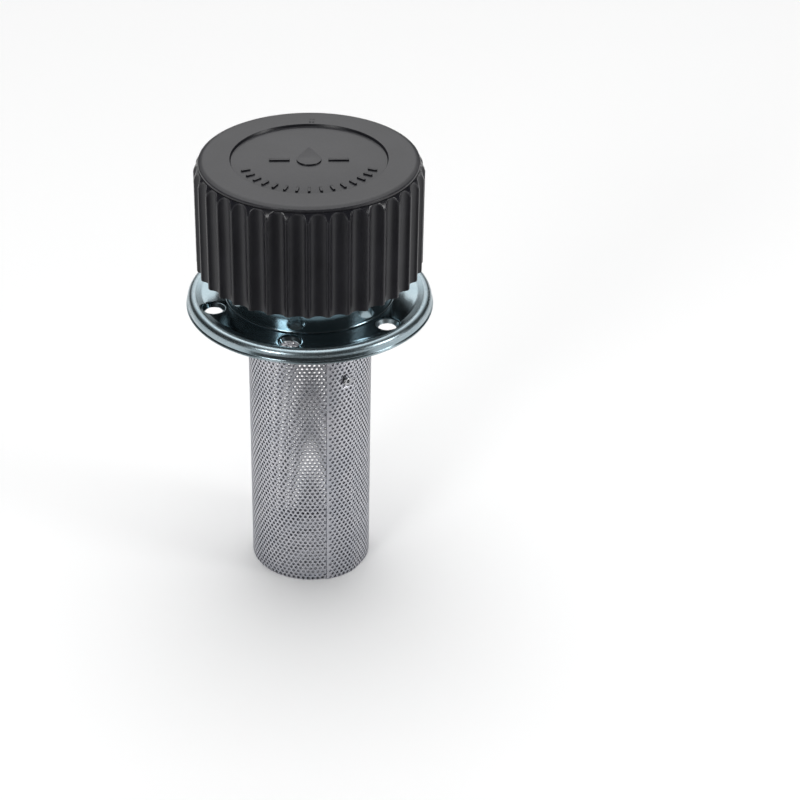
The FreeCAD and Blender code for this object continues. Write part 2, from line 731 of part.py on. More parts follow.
make_flange_plate()
make_cap_cover()
make_centre_stud()
washer("top_seal", "stud_r + hole_play", "boss_r", ELEMENT_TOP, BOSS_UNDER)
make_filter_disc("filter_top_disc", "stud_r + hole_play", ELEMENT_TOP, "-")
make_filter_disc("filter_bottom_disc", "disc_hole_r", ELEMENT_UNDER, "+")
make_filter_paper()
make_filter_core()
washer("bottom_seal", "disc_hole_r + disc_thick", "disc_hole_r + disc_thick + felt_wide", PLATE_TOP, ELEMENT_UNDER)
make_base_plate()
make_splash_guard()
washer("base_washer", "stud_r + hole_play", "washer_r", WASHER_UNDER, WASHER_UNDER + " + washer_thick")
make_nut("base_nut", NUT_UNDER)
make_bayonet_bridge()
make_bayonet_spring()
washer("spring_washer", "stud_r + hole_play", "washer_r", LOCK_TOP, COIL_UNDER)
make_nut("lock_nut", LOCK_UNDER)
SEAL_INNER = "(rim_r + cap_seal_inset)"
washer("cap_seal", SEAL_INNER, SEAL_INNER + " + cap_seal_wide", "neck_top", PLATE_UNDER)
make_strainer_collar()
make_strainer_wall()
make_strainer_bottom()
make_seam_rivet()

doc.recompute()

for piece in doc.Objects:
    if "Invalid" in piece.State or "Error" in piece.State:
        raise ValueError(piece.Label + ": " + ", ".join(piece.State))

NODES = [piece for piece in doc.Objects
         if piece.TypeId == "PartDesign::Body" or piece.Label == "filter_paper"]
for piece in NODES:
    if piece.Shape.isNull() or not piece.Shape.isValid() or not piece.Shape.Solids:
        raise ValueError(piece.Label + ": no valid solid")
    piece.Shape.exportStep(os.path.join("parts", piece.Label + ".step"))
    print(piece.Label, round(piece.Shape.Volume, 2), len(piece.Shape.Solids))
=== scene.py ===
import bmesh
import bpy
import math
from mathutils import Matrix, Vector


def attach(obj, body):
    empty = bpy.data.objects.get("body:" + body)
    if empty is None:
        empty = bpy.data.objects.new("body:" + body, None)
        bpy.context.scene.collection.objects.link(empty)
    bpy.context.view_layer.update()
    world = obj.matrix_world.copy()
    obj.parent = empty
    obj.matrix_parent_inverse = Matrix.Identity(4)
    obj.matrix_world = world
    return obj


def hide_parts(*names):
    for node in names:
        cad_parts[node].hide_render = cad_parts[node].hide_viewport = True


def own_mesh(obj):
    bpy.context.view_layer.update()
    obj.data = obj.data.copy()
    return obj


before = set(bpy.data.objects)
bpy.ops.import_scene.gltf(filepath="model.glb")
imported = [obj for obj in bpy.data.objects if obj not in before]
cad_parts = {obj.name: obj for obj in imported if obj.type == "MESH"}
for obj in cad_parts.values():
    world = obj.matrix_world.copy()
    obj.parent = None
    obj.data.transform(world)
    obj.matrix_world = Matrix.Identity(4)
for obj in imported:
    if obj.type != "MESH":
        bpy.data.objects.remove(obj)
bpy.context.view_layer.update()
mm = 0.001
print("frame loaded:", len(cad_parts), "nodes")


# small helpers for node trees

def feed(tree, socket, value):
    if isinstance(value, bpy.types.NodeSocket):
        tree.links.new(value, socket)
    else:
        socket.default_value = value


def addNode(tree, kind, inputs=None, **settings):
    node = tree.nodes.new(kind)
    for key, value in settings.items():
        setattr(node, key, value)
    for key, value in (inputs or {}).items():
        feed(tree, node.inputs[key], value)
    return node


def calc(tree, operation, *terms):
    node = tree.nodes.new("ShaderNodeMath")
    node.operation = operation
    for socket, term in zip(node.inputs, terms):
        feed(tree, socket, term)
    return node.outputs[0]


def times(tree, first, second):
    return calc(tree, "MULTIPLY", first, second)


def plus(tree, first, second):
    return calc(tree, "ADD", first, second)


def minus(tree, first, second):
    return calc(tree, "SUBTRACT", first, second)


def longSide(tree, first, second):
    return calc(tree, "SQRT", plus(tree, times(tree, first, first), times(tree, second, second)))


# a node whose first output is all that is wanted
def nodeOut(tree, kind, inputs=None, **settings):
    return addNode(tree, kind, inputs, **settings).outputs[0]


def joinXYZ(tree, x=0.0, y=0.0, z=0.0):
    return nodeOut(tree, "ShaderNodeCombineXYZ", {0: x, 1: y, 2: z})


def splitXYZ(tree, vector):
    return addNode(tree, "ShaderNodeSeparateXYZ", {"Vector": vector}).outputs


def objectSpot(tree):
    return addNode(tree, "ShaderNodeTexCoord").outputs["Object"]


def fitRange(tree, value, low, high, toLow=0.0, toHigh=1.0, smooth=False):
    node = addNode(tree, "ShaderNodeMapRange")
    if smooth:
        node.interpolation_type = "SMOOTHSTEP"
    for index, term in enumerate((value, low, high, toLow, toHigh)):
        feed(tree, node.inputs[index], term)
    return node.outputs[0]


# shader node groups that several finishes share

def shaderGroup(name, inputs, outputs):
    group = bpy.data.node_groups.new(name, "ShaderNodeTree")
    for label, value in inputs.items():
        socket = group.interface.new_socket(label, in_out="INPUT", socket_type="NodeSocketFloat")
        socket.default_value = value
    for label in outputs:
        group.interface.new_socket(label, in_out="OUTPUT", socket_type="NodeSocketFloat")
    entry = group.nodes.new("NodeGroupInput").outputs
    leave = group.nodes.new("NodeGroupOutput").inputs
    return group, entry, leave


def noiseField(tree, vector, scale, detail=3.0, roughness=0.5):
    return nodeOut(tree, "ShaderNodeTexNoise",
                   {"Vector": vector, "Scale": scale, "Detail": detail, "Roughness": roughness})


# worn edges: the piece's "edge" attribute broken up by noise
def makeEdgeWear():
    group, entry, leave = shaderGroup("edgeWear", {"Amount": 0.5, "Scale": 900.0}, ["Mask"])
    edge = addNode(group, "ShaderNodeAttribute", attribute_name="edge").outputs["Fac"]
    spot = objectSpot(group)
    patches = noiseField(group, spot, entry["Scale"], 4.0, 0.6)
    broken = fitRange(group, patches, 0.38, 0.62)
    feed(group, leave["Mask"], times(group, times(group, edge, broken), entry["Amount"]))
    return group


# fine grain for bump and roughness, with a slow cloud for colour
def makeGrain():
    group, entry, leave = shaderGroup("grain", {"Scale": 4000.0, "Cloud Scale": 40.0}, ["Height", "Cloud"])
    spot = objectSpot(group)
    feed(group, leave["Height"], noiseField(group, spot, entry["Scale"], 2.0, 0.6))
    feed(group, leave["Cloud"], noiseField(group, spot, entry["Cloud Scale"], 4.0, 0.55))
    return group


# rings left by drawing and rolling: noise that only changes with radius and height
def makeTurnedLines():
    group, entry, leave = shaderGroup("turnedLines", {"Scale": 900.0, "Around": 6.0}, ["Height"])
    spot = objectSpot(group)
    parts = splitXYZ(group, spot)
    radius = longSide(group, parts[0], parts[1])
    turn = calc(group, "ARCTAN2", parts[1], parts[0])
    wave = times(group, calc(group, "SINE", turn), entry["Around"])
    along = times(group, plus(group, radius, parts[2]), entry["Scale"])
    lines = joinXYZ(group, along, wave, calc(group, "COSINE", turn))
    feed(group, leave["Height"], noiseField(group, lines, 1.0, 3.0, 0.6))
    return group


# small scratches in all directions
def makeScratches():
    group, entry, leave = shaderGroup("scratches", {"Scale": 260.0, "Amount": 0.5}, ["Mask"])
    spot = objectSpot(group)
    spread = nodeOut(group, "ShaderNodeVectorMath", {0: spot, "Scale": entry["Scale"]}, operation="SCALE")
    swirl = addNode(group, "ShaderNodeTexNoise", {"Vector": spread, "Scale": 0.6}).outputs["Color"]
    moved = nodeOut(group, "ShaderNodeVectorMath", {0: spread, 1: swirl}, operation="ADD")
    cells = nodeOut(group, "ShaderNodeTexVoronoi", {"Vector": moved, "Scale": 1.0},
                    feature="DISTANCE_TO_EDGE")
    line = fitRange(group, cells, 0.0, 0.02, 1.0, 0.0)
    rare = fitRange(group, noiseField(group, moved, 0.7, 2.0, 0.5), 0.5, 0.62)
    feed(group, leave["Mask"], times(group, times(group, line, rare), entry["Amount"]))
    return group


# the lands that stay between the flutes on the cap's shoulder
def makeLandMask():
    shoulder = {"Low": 0.04805, "High": 0.0512, "Outer": 0.0392, "Inner": 0.03775}
    group, entry, leave = shaderGroup("landMask", shoulder, ["Mask"])
    spot = objectSpot(group)
    parts = splitXYZ(group, spot)
    radius = longSide(group, parts[0], parts[1])
    surface = fitRange(group, parts[2], entry["Low"], entry["High"], entry["Outer"], entry["Inner"])
    uncut = fitRange(group, minus(group, radius, surface), -0.15 * mm, 0.0)
    above = fitRange(group, parts[2], entry["Low"], plus(group, entry["Low"], 0.4 * mm))
    feed(group, leave["Mask"], times(group, uncut, above))
    return group


edgeWear = makeEdgeWear()
grain = makeGrain()
turnedLines = makeTurnedLines()
scratches = makeScratches()
landMask = makeLandMask()


def useGroup(tree, group, **values):
    node = tree.nodes.new("ShaderNodeGroup")
    node.node_tree = group
    for key, value in values.items():
        feed(tree, node.inputs[key.replace("_", " ")], value)
    return node.outputs


def blendColor(tree, share, first, second):
    node = addNode(tree, "ShaderNodeMix", data_type="RGBA")
    feed(tree, node.inputs["Factor"], share)
    for index, color in ((6, first), (7, second)):
        feed(tree, node.inputs[index], color if isinstance(color, bpy.types.NodeSocket) else (*color, 1))
    return node.outputs[2]


# one finish from its look: two colours mixed by cloud, worn edges, lines, scratches, grain
def makeFinish(name, look):
    material = bpy.data.materials.new(name)
    material.use_nodes = True
    tree = material.node_tree
    shader = tree.nodes["Principled BSDF"]
    shader.inputs["Metallic"].default_value = look.get("metallic", 0.0)
    for socket in ("Specular IOR Level", "Sheen Weight", "Sheen Roughness"):
        if socket in look:
            shader.inputs[socket].default_value = look[socket]
    field = useGroup(tree, grain, Scale=look["grainScale"], Cloud_Scale=look["cloudScale"])
    cloud = fitRange(tree, field["Cloud"], 0.35, 0.65)
    color = blendColor(tree, cloud, look["color"], look["secondColor"])
    smoothest, roughest = look["rough"] - look["roughSpread"], look["rough"] + look["roughSpread"]
    rough = fitRange(tree, field["Height"], 0.3, 0.7, smoothest, roughest)
    height = times(tree, field["Height"], look["grainDepth"])
    if look.get("lineDepth"):
        lines = useGroup(tree, turnedLines, Scale=look["lineScale"], Around=look["lineAround"])
        height = plus(tree, height, times(tree, lines["Height"], look["lineDepth"]))
        change = fitRange(tree, lines["Height"], 0.3, 0.7, -look["lineRough"], look["lineRough"])
        rough = plus(tree, rough, change)
        tint = fitRange(tree, lines["Height"], 0.35, 0.7, 0.0, look["lineTint"])
        color = blendColor(tree, tint, color, look["secondColor"])
    if look.get("scratchAmount"):
        marks = useGroup(tree, scratches, Scale=look["scratchScale"], Amount=look["scratchAmount"])
        color = blendColor(tree, marks["Mask"], color, look["scratchColor"])
        height = minus(tree, height, times(tree, marks["Mask"], look["grainDepth"]))
    if look.get("wearAmount"):
        worn = useGroup(tree, edgeWear, Amount=look["wearAmount"], Scale=look["wearScale"])
        color = blendColor(tree, worn["Mask"], color, look["wearColor"])
        rough = minus(tree, rough, times(tree, worn["Mask"], 0.1))
    if look.get("landPolish"):
        lands = useGroup(tree, landMask)
        rough = minus(tree, rough, times(tree, lands["Mask"], look["landPolish"]))
    if look.get("bendRough"):  # drawn bends are duller
        bend = addNode(tree, "ShaderNodeAttribute", attribute_name="edge").outputs["Fac"]
        rough = plus(tree, rough, times(tree, bend, look["bendRough"]))
    feed(tree, shader.inputs["Base Color"], color)
    feed(tree, shader.inputs["Roughness"], calc(tree, "MAXIMUM", rough, 0.05))
    bump = nodeOut(tree, "ShaderNodeBump",
                   {"Height": height, "Strength": look["bump"], "Distance": look["bumpDistance"]})
    feed(tree, shader.inputs["Normal"], bump)
    return material


finishes = {
    "capPlastic": dict(
        **{"Specular IOR Level": 0.38}, color=(0.009, 0.009, 0.012), secondColor=(0.014, 0.014, 0.018),
        rough=0.34, roughSpread=0.05, landPolish=0.13,
        grainScale=5200.0, cloudScale=70.0, grainDepth=1.0, bump=0.16, bumpDistance=0.00006,
        scratchScale=330.0, scratchAmount=0.2, scratchColor=(0.04, 0.04, 0.045),
        wearAmount=0.5, wearScale=1300.0, wearColor=(0.045, 0.045, 0.05)),
    "zincPlate": dict(
        metallic=1.0, color=(0.28, 0.37, 0.41), secondColor=(0.34, 0.42, 0.455),
        rough=0.16, roughSpread=0.02, bendRough=0.5,
        grainScale=3000.0, cloudScale=90.0, grainDepth=0.25, bump=0.08, bumpDistance=0.00004,
        lineScale=2600.0, lineAround=3.0, lineDepth=0.4, lineRough=0.02, lineTint=0.3,
        scratchScale=240.0, scratchAmount=0.3, scratchColor=(0.60, 0.63, 0.65),
        wearAmount=0.5, wearScale=900.0, wearColor=(0.60, 0.62, 0.63)),
    "strainerMetal": dict(
        metallic=1.0, color=(0.47, 0.48, 0.52), secondColor=(0.54, 0.54, 0.575),
        rough=0.38, roughSpread=0.05,
        grainScale=2600.0, cloudScale=120.0, grainDepth=0.5, bump=0.15, bumpDistance=0.00006,
        scratchScale=200.0, scratchAmount=0.3, scratchColor=(0.62, 0.62, 0.64)),
    "turnedSteel": dict(
        metallic=1.0, color=(0.55, 0.57, 0.59), secondColor=(0.62, 0.63, 0.63),
        rough=0.27, roughSpread=0.05,
        grainScale=3000.0, cloudScale=160.0, grainDepth=0.4, bump=0.15, bumpDistance=0.00005,
        lineScale=3600.0, lineAround=2.0, lineDepth=0.5, lineRough=0.03, lineTint=0.3,
        wearAmount=0.5, wearScale=1200.0, wearColor=(0.74, 0.75, 0.75)),
    "springWire": dict(
        metallic=1.0, color=(0.42, 0.43, 0.45), secondColor=(0.50, 0.50, 0.51),
        rough=0.3, roughSpread=0.05,
        grainScale=3500.0, cloudScale=200.0, grainDepth=0.5, bump=0.12, bumpDistance=0.00004,
        scratchScale=500.0, scratchAmount=0.3, scratchColor=(0.65, 0.65, 0.66)),
    "rivetMetal": dict(
        metallic=1.0, color=(0.38, 0.39, 0.41), secondColor=(0.46, 0.46, 0.47),
        rough=0.22, roughSpread=0.04,
        grainScale=4200.0, cloudScale=400.0, grainDepth=0.4, bump=0.1, bumpDistance=0.00004,
        scratchScale=700.0, scratchAmount=0.3, scratchColor=(0.8, 0.8, 0.8)),
    "tinPlate": dict(
        metallic=1.0, color=(0.60, 0.60, 0.60), secondColor=(0.68, 0.68, 0.67),
        rough=0.32, roughSpread=0.06,
        grainScale=2200.0, cloudScale=70.0, grainDepth=0.5, bump=0.12, bumpDistance=0.00005,
        lineScale=2400.0, lineAround=2.0, lineDepth=0.5, lineRough=0.03, lineTint=0.3),
    "blackRubber": dict(
        color=(0.020, 0.020, 0.021), secondColor=(0.032, 0.031, 0.031), rough=0.62, roughSpread=0.08,
        grainScale=3400.0, cloudScale=120.0, grainDepth=1.0, bump=0.3, bumpDistance=0.0001,
        wearAmount=0.35, wearScale=700.0, wearColor=(0.07, 0.07, 0.07)),
    "filterPaper": dict(
        color=(0.62, 0.53, 0.34), secondColor=(0.70, 0.62, 0.43), rough=0.85, roughSpread=0.06,
        grainScale=2600.0, cloudScale=260.0, grainDepth=1.0, bump=0.45, bumpDistance=0.0001),
    "greyFelt": dict(
        **{"Sheen Weight": 0.3, "Sheen Roughness": 0.6}, color=(0.26, 0.25, 0.24),
        secondColor=(0.36, 0.35, 0.33), rough=0.95, roughSpread=0.03,
        grainScale=1900.0, cloudScale=420.0, grainDepth=1.0, bump=0.8, bumpDistance=0.0002),
}
finish = {name: makeFinish(name, look) for name, look in finishes.items()}
print("finishes ready:", len(finish))


# mesh helpers; sizes in the dictionaries are millimetres

# corners are (radius, height) or (radius, height, bend); a bend becomes an arc
def roundCorners(corners, steps=5):
    spots = [Vector(corner[:2]) for corner in corners]
    count = len(corners)
    halves, reaches = [], []
    for index, corner in enumerate(corners):
        bend = corner[2] if len(corner) > 2 else 0
        toBefore, toAfter = spots[index - 1] - spots[index], spots[(index + 1) % count] - spots[index]
        halves.append(toBefore.angle(toAfter) / 2)
        reaches.append(bend / math.tan(halves[index]))
    points = []
    for index, here in enumerate(spots):
        if not reaches[index]:
            points.append(here)
            continue
        before, after = index - 1, (index + 1) % count
        toBefore, toAfter, half = spots[before] - here, spots[after] - here, halves[index]
        # two arcs on one short run share its length
        reach = min(reaches[index] * min(1.0, 0.998 * toBefore.length / (reaches[index] + reaches[before])),
                    reaches[index] * min(1.0, 0.998 * toAfter.length / (reaches[index] + reaches[after])))
        start = here + toBefore.normalized() * reach
        end = here + toAfter.normalized() * reach
        centre = here + (toBefore.normalized() + toAfter.normalized()).normalized() * (reach / math.cos(half))
        radius = reach * math.tan(half)
        first, last = start - centre, end - centre
        sweep = first.angle(last)
        for step in range(steps + 1):
            share = step / steps
            arm = (first * math.sin((1 - share) * sweep) + last * math.sin(share * sweep)) / math.sin(sweep)
            points.append(centre + arm.normalized() * radius)
    return points


# how sharply the outline turns outwards at each point, 0 to 1
def edgeShares(points):
    shares = []
    for index, here in enumerate(points):
        before, after = points[index - 1], points[(index + 1) % len(points)]
        into, out = here - before, after - here
        if into.length < 1e-9 or out.length < 1e-9:
            shares.append(0.0)
            continue
        turn = math.atan2(into.x * out.y - into.y * out.x, into.dot(out))
        shares.append(max(0.0, min(1.0, turn / max(0.05, min(into.length, out.length)) * 0.6)))
    return shares


# a long straight run gets a row near each end, which keeps its smooth shading flat
def supportRuns(points, least, gap=0.12):
    supported = []
    for index, here in enumerate(points):
        supported.append(here)
        run = points[(index + 1) % len(points)] - here
        if run.length > least and here.x + run.x > 1e-6:
            supported += [here + run.normalized() * gap, here + run - run.normalized() * gap]
    return supported


# closed outline turned about the Z axis, as vertices, faces and edge shares
def turnOutline(corners, angles, steps=5, least=1.1):
    points = supportRuns(roundCorners(corners, steps), least)
    area = sum(a.x * b.y - b.x * a.y for a, b in zip(points, points[1:] + points[:1]))
    if area < 0:
        points.reverse()
    shares = edgeShares(points)
    count, columns = len(points), len(angles)
    vertices, edges, index = [], [], {}
    for row, point in enumerate(points):
        onAxis = point.x < 1e-6
        for column, angle in enumerate(angles):
            if onAxis and column:
                index[row, column] = index[row, 0]
                continue
            index[row, column] = len(vertices)
            vertices.append((point.x * math.cos(angle) * mm, point.x * math.sin(angle) * mm, point.y * mm))
            edges.append(shares[row])
    faces = []
    for row in range(count):
        nextRow = (row + 1) % count
        if points[row].x < 1e-6 and points[nextRow].x < 1e-6:
            continue
        for column in range(columns):
            nextColumn = (column + 1) % columns
            corner = [index[row, column], index[row, nextColumn], index[nextRow, nextColumn],
                      index[nextRow, column]]
            faces.append([v for place, v in enumerate(corner) if v != corner[place - 1]])
    return vertices, faces, edges


def evenAngles(columns):
    return [2 * math.pi * column / columns for column in range(columns)]


def meshFrom(name, vertices, faces, edges=None):
    mesh = bpy.data.meshes.new(name)
    mesh.from_pydata(vertices, [], faces)
    attribute = mesh.attributes.new("edge", "FLOAT", "POINT")
    attribute.data.foreach_set("value", edges or [0.0] * len(vertices))
    mesh.update()
    return mesh


def lathe(name, corners, columns=160, steps=5):
    return meshFrom(name, *turnOutline(corners, evenAngles(columns), steps))


# join meshes into one; those without edge shares get none
def joinMeshes(name, meshes):
    joined = bmesh.new()
    layer = joined.verts.layers.float.new("edge")
    for mesh in meshes:
        before = len(joined.verts)
        joined.from_mesh(mesh)
        joined.verts.ensure_lookup_table()
        if "edge" not in mesh.attributes:
            for vertex in joined.verts[before:]:
                vertex[layer] = 0.0
    mesh = bpy.data.meshes.new(name)
    joined.to_mesh(mesh)
    joined.free()
    return mesh


def addObject(name, data):
    added = bpy.data.objects.new(name, data)
    bpy.context.scene.collection.objects.link(added)
    return added


# smooth shading, with edges kept sharp where faces meet at more than an angle
def placePiece(name, mesh, body, material, nodes=(), sharp=35.0):
    mesh.shade_smooth()
    mesh.set_sharp_from_angle(angle=math.radians(sharp))
    mesh.materials.clear()
    mesh.materials.append(material)
    piece = addObject(name, mesh)
    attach(piece, body)
    if nodes:
        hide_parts(*nodes)
    return piece


# geometry trees: named inputs, ending in Realize Instances and Set Material

def geometryTree(name, sizes):
    tree = bpy.data.node_groups.new(name, "GeometryNodeTree")
    tree.interface.new_socket("Geometry", in_out="INPUT", socket_type="NodeSocketGeometry")
    for label, value in sizes.items():
        kind = "NodeSocketInt" if isinstance(value, int) else "NodeSocketFloat"
        tree.interface.new_socket(label, in_out="INPUT", socket_type=kind)
    tree.interface.new_socket("Material", in_out="INPUT", socket_type="NodeSocketMaterial")
    tree.interface.new_socket("Geometry", in_out="OUTPUT", socket_type="NodeSocketGeometry")
    return tree, tree.nodes.new("NodeGroupInput").outputs


def joinParts(tree, *parts):
    joined = addNode(tree, "GeometryNodeJoinGeometry")
    for part in parts:
        tree.links.new(part, joined.inputs[0])
    return joined.outputs[0]


def endTree(tree, entry, geometry):
    realized = nodeOut(tree, "GeometryNodeRealizeInstances", {"Geometry": geometry})
    painted = nodeOut(tree, "GeometryNodeSetMaterial", {"Geometry": realized, "Material": entry["Material"]})
    tree.links.new(painted, tree.nodes.new("NodeGroupOutput").inputs[0])


# runs a tree on a base mesh and returns the plain result
def growMesh(name, baseMesh, tree, sizes, material):
    source = addObject(name + "_source", baseMesh)
    modifier = source.modifiers.new(tree.name, "NODES")
    modifier.node_group = tree
    for item in tree.interface.items_tree:
        if item.item_type == "SOCKET" and item.in_out == "INPUT" and item.socket_type != "NodeSocketGeometry":
            modifier[item.identifier] = material if item.name == "Material" else sizes[item.name]
    depsgraph = bpy.context.evaluated_depsgraph_get()
    mesh = bpy.data.meshes.new_from_object(source.evaluated_get(depsgraph))
    mesh.name = name
    source.modifiers.clear()
    bpy.data.objects.remove(source)
    return mesh


# cap: one black moulding; the flutes are pressed into its wall by a tree
capShape = {
    "radius": 39.2, "bottom": 12.9, "top": 53.05,
    "lidRadius": 37.5, "lidThick": 1.6, "lidEdge": 0.7, "lidGroove": 0.25, "shoulderDrop": 5.0,
    "innerRadius": 35.4, "roof": 2.5, "recessRadius": 26.5, "recessDepth": 1.0,
    "bossRadius": 9.0, "bossUnder": 45.2, "studRadius": 2.95, "studTop": 49.4,
    "archRows": 22, "wallRows": 8, "crown": 0.22,
}
fluteSizes = {
    "Flute Count": 36, "Flute Radius": 3.5 * mm, "Flute Depth": 1.8 * mm,
    "Cap Radius": capShape["radius"] * mm,
    "Arch Height": 49.75 * mm, "First Turn": math.radians(4.2), "Crest Round": 0.32 * mm,
}


def capOutline(shape):
    top, lidR, groove = shape["top"], shape["lidRadius"], shape["lidGroove"]
    line = top - shape["lidThick"]
    shoulderLow, shoulderHigh = top - shape["shoulderDrop"], line - groove
    roofUnder = top - shape["recessDepth"] - shape["roof"]
    outer = shape["radius"]
    corners = [(shape["innerRadius"], shape["bottom"], 0.3), (outer, shape["bottom"], 0.5)]
    # rows up the wall, close together where the flutes end, so that the tree can bend it
    wall, wallHigh = shape["wallRows"], shoulderLow - 4.0 - shape["bottom"]
    corners += [(outer, shape["bottom"] + 1.0 + wallHigh * row / wall) for row in range(wall)]
    corners += [(outer, shoulderLow - 3.0 + 0.5 * row) for row in range(6)]
    rows = shape["archRows"]
    for row in range(rows + 1):
        share = row / rows
        bulge = shape["crown"] * math.sin(math.pi * share)  # the shoulder is slightly crowned
        corners.append((outer + (lidR + groove - outer) * share + bulge,
                        shoulderLow + (shoulderHigh - shoulderLow) * share))
    corners += [
        (lidR - groove, shoulderHigh), (lidR - groove, line), (lidR, line, 0.08),
        (lidR, top - shape["lidEdge"], 0.5), (lidR - 2.2 * shape["lidEdge"], top - 0.06, 2.4),
        (lidR - 5.0, top, 12.0),
        (shape["recessRadius"] + 0.25, top, 0.2), (shape["recessRadius"], top - shape["recessDepth"], 0.25),
        (0, top - shape["recessDepth"]), (0, shape["studTop"]), (shape["studRadius"], shape["studTop"]),
        (shape["studRadius"], shape["bossUnder"]), (shape["bossRadius"], shape["bossUnder"], 0.3),
        (shape["bossRadius"], roofUnder, 1.0), (shape["innerRadius"], roofUnder, 1.0),
    ]
    return corners


# columns crowd together where a crest turns into a flute
def fluteAngles(count, firstTurn):
    offsets = [0.0, 0.9, 1.8, 2.6, 3.3, 3.75, 4.05, 4.25, 4.4, 4.55, 4.75]
    single = [-offset for offset in reversed(offsets[1:])] + offsets + [180 / count]
    return [firstTurn + math.radians(360 / count * index + offset)
            for index in range(count) for offset in single]


def buildFluteTree():
    tree, entry = geometryTree("pressFlutes", fluteSizes)
    parts = splitXYZ(tree, nodeOut(tree, "GeometryNodeInputPosition"))
    radius = longSide(tree, parts[0], parts[1])
    safeRadius = calc(tree, "MAXIMUM", radius, 1e-6)
    half = calc(tree, "DIVIDE", math.pi, entry["Flute Count"])
    turn = minus(tree, calc(tree, "ARCTAN2", parts[1], parts[0]), entry["First Turn"])
    offset = calc(tree, "WRAP", turn, half, times(tree, half, -1.0))
    # the cutter is a round bar with a ball end, upright outside the wall
    axis = plus(tree, minus(tree, entry["Cap Radius"], entry["Flute Depth"]), entry["Flute Radius"])
    rise = calc(tree, "MAXIMUM", minus(tree, parts[2], entry["Arch Height"]), 0.0)
    barRadius = entry["Flute Radius"]
    barSquare = minus(tree, times(tree, barRadius, barRadius), times(tree, rise, rise))
    side = times(tree, axis, calc(tree, "SINE", offset))
    deep = calc(tree, "SQRT", calc(tree, "MAXIMUM", minus(tree, barSquare, times(tree, side, side)), 0.0))
    cut = minus(tree, times(tree, axis, calc(tree, "COSINE", offset)), deep)
    newRadius = calc(tree, "SMOOTH_MIN", safeRadius, cut, entry["Crest Round"])
    scale = calc(tree, "DIVIDE", newRadius, safeRadius)
    moved = joinXYZ(tree, times(tree, parts[0], scale), times(tree, parts[1], scale), parts[2])
    # crests count as edges for the wear
    apart = calc(tree, "ABSOLUTE", minus(tree, safeRadius, cut))
    crest = fitRange(tree, apart, 0.05 * mm, 0.35 * mm, 1.0, 0.0)
    uncut = calc(tree, "GREATER_THAN", cut, safeRadius)
    old = nodeOut(tree, "GeometryNodeInputNamedAttribute", {"Name": "edge"}, data_type="FLOAT")
    edge = calc(tree, "MAXIMUM", times(tree, old, uncut), crest)
    stored = nodeOut(tree, "GeometryNodeStoreNamedAttribute",
                     {"Geometry": entry["Geometry"], "Name": "edge", "Value": edge},
                     data_type="FLOAT", domain="POINT")
    shaped = nodeOut(tree, "GeometryNodeSetPosition", {"Geometry": stored, "Position": moved})
    endTree(tree, entry, shaped)
    return tree


def boxMesh(name, low, high, turn=0.0, bevel=0.2):
    box = bmesh.new()
    bmesh.ops.create_cube(box, size=1.0)
    size = [(b - a) * mm for a, b in zip(low, high)]
    middle = [(b + a) / 2 * mm for a, b in zip(low, high)]
    bmesh.ops.scale(box, vec=size, verts=box.verts)
    bmesh.ops.translate(box, vec=middle, verts=box.verts)
    bmesh.ops.bevel(box, geom=box.edges[:], offset=bevel * mm, segments=2, profile=0.5, affect="EDGES")
    bmesh.ops.rotate(box, cent=(0, 0, 0), matrix=Matrix.Rotation(turn, 3, "Z"), verts=box.verts)
    mesh = bpy.data.meshes.new(name)
    box.to_mesh(mesh)
    box.free()
    return mesh


# marks on the lid: a drop between two bars, a row of ticks round the recess, two index marks
reliefShape = {
    "level": 52.05, "rise": 0.5, "sunk": 0.1, "bevel": 0.15,
    "dropRadius": 4.2, "dropTip": 9.5, "dropTurn": 90.0, "dropSteps": 40,
    "tickRadius": 24.1, "tickLong": 3.2, "tickWide": 0.9, "tickCount": 15, "tickPitch": 10.0,
    "tickStart": 200.0,
    "barInner": 6.5, "barOuter": 13.5, "barWide": 1.3,
    "indexTurns": (86.9, 89.1), "indexInner": 28.0, "indexOuter": 30.6, "indexWide": 0.6,
    "indexRise": 0.15, "indexSunk": 0.3,
}
# ribs inside the cap's wall
ribShape = {"thick": 1.6, "drop": 25.0, "inner": 31.5, "half": 2.3, "sunk": 0.5, "count": 6, "turn": 4.2}


def dropMesh(shape):
    radius, tip = shape["dropRadius"], shape["dropTip"]
    touch = math.acos(radius / tip)
    outline = [(tip, 0.0)]
    steps = shape["dropSteps"]
    for step in range(steps + 1):
        angle = touch + (2 * math.pi - 2 * touch) * step / steps
        outline.append((radius * math.cos(angle), radius * math.sin(angle)))
    turn = math.radians(shape["dropTurn"])
    vertices, faces = [], []
    rise = shape["rise"]
    levels = [(-shape["sunk"], 1.0), (rise - 0.15, 1.0), (rise - 0.04, 0.985), (rise, 0.95)]
    for height, share in levels:
        for x, y in outline:
            vertices.append(((x * math.cos(turn) - y * math.sin(turn)) * share * mm,
                             (x * math.sin(turn) + y * math.cos(turn)) * share * mm,
                             (shape["level"] + height) * mm))
    count = len(outline)
    for level in range(len(levels) - 1):
        for index in range(count):
            following = (index + 1) % count
            faces.append([level * count + index, level * count + following, (level + 1) * count + following,
                          (level + 1) * count + index])
    faces.append(list(range((len(levels) - 1) * count, len(levels) * count)))
    faces.append(list(range(count - 1, -1, -1)))
    return meshFrom("oilDrop", vertices, faces)


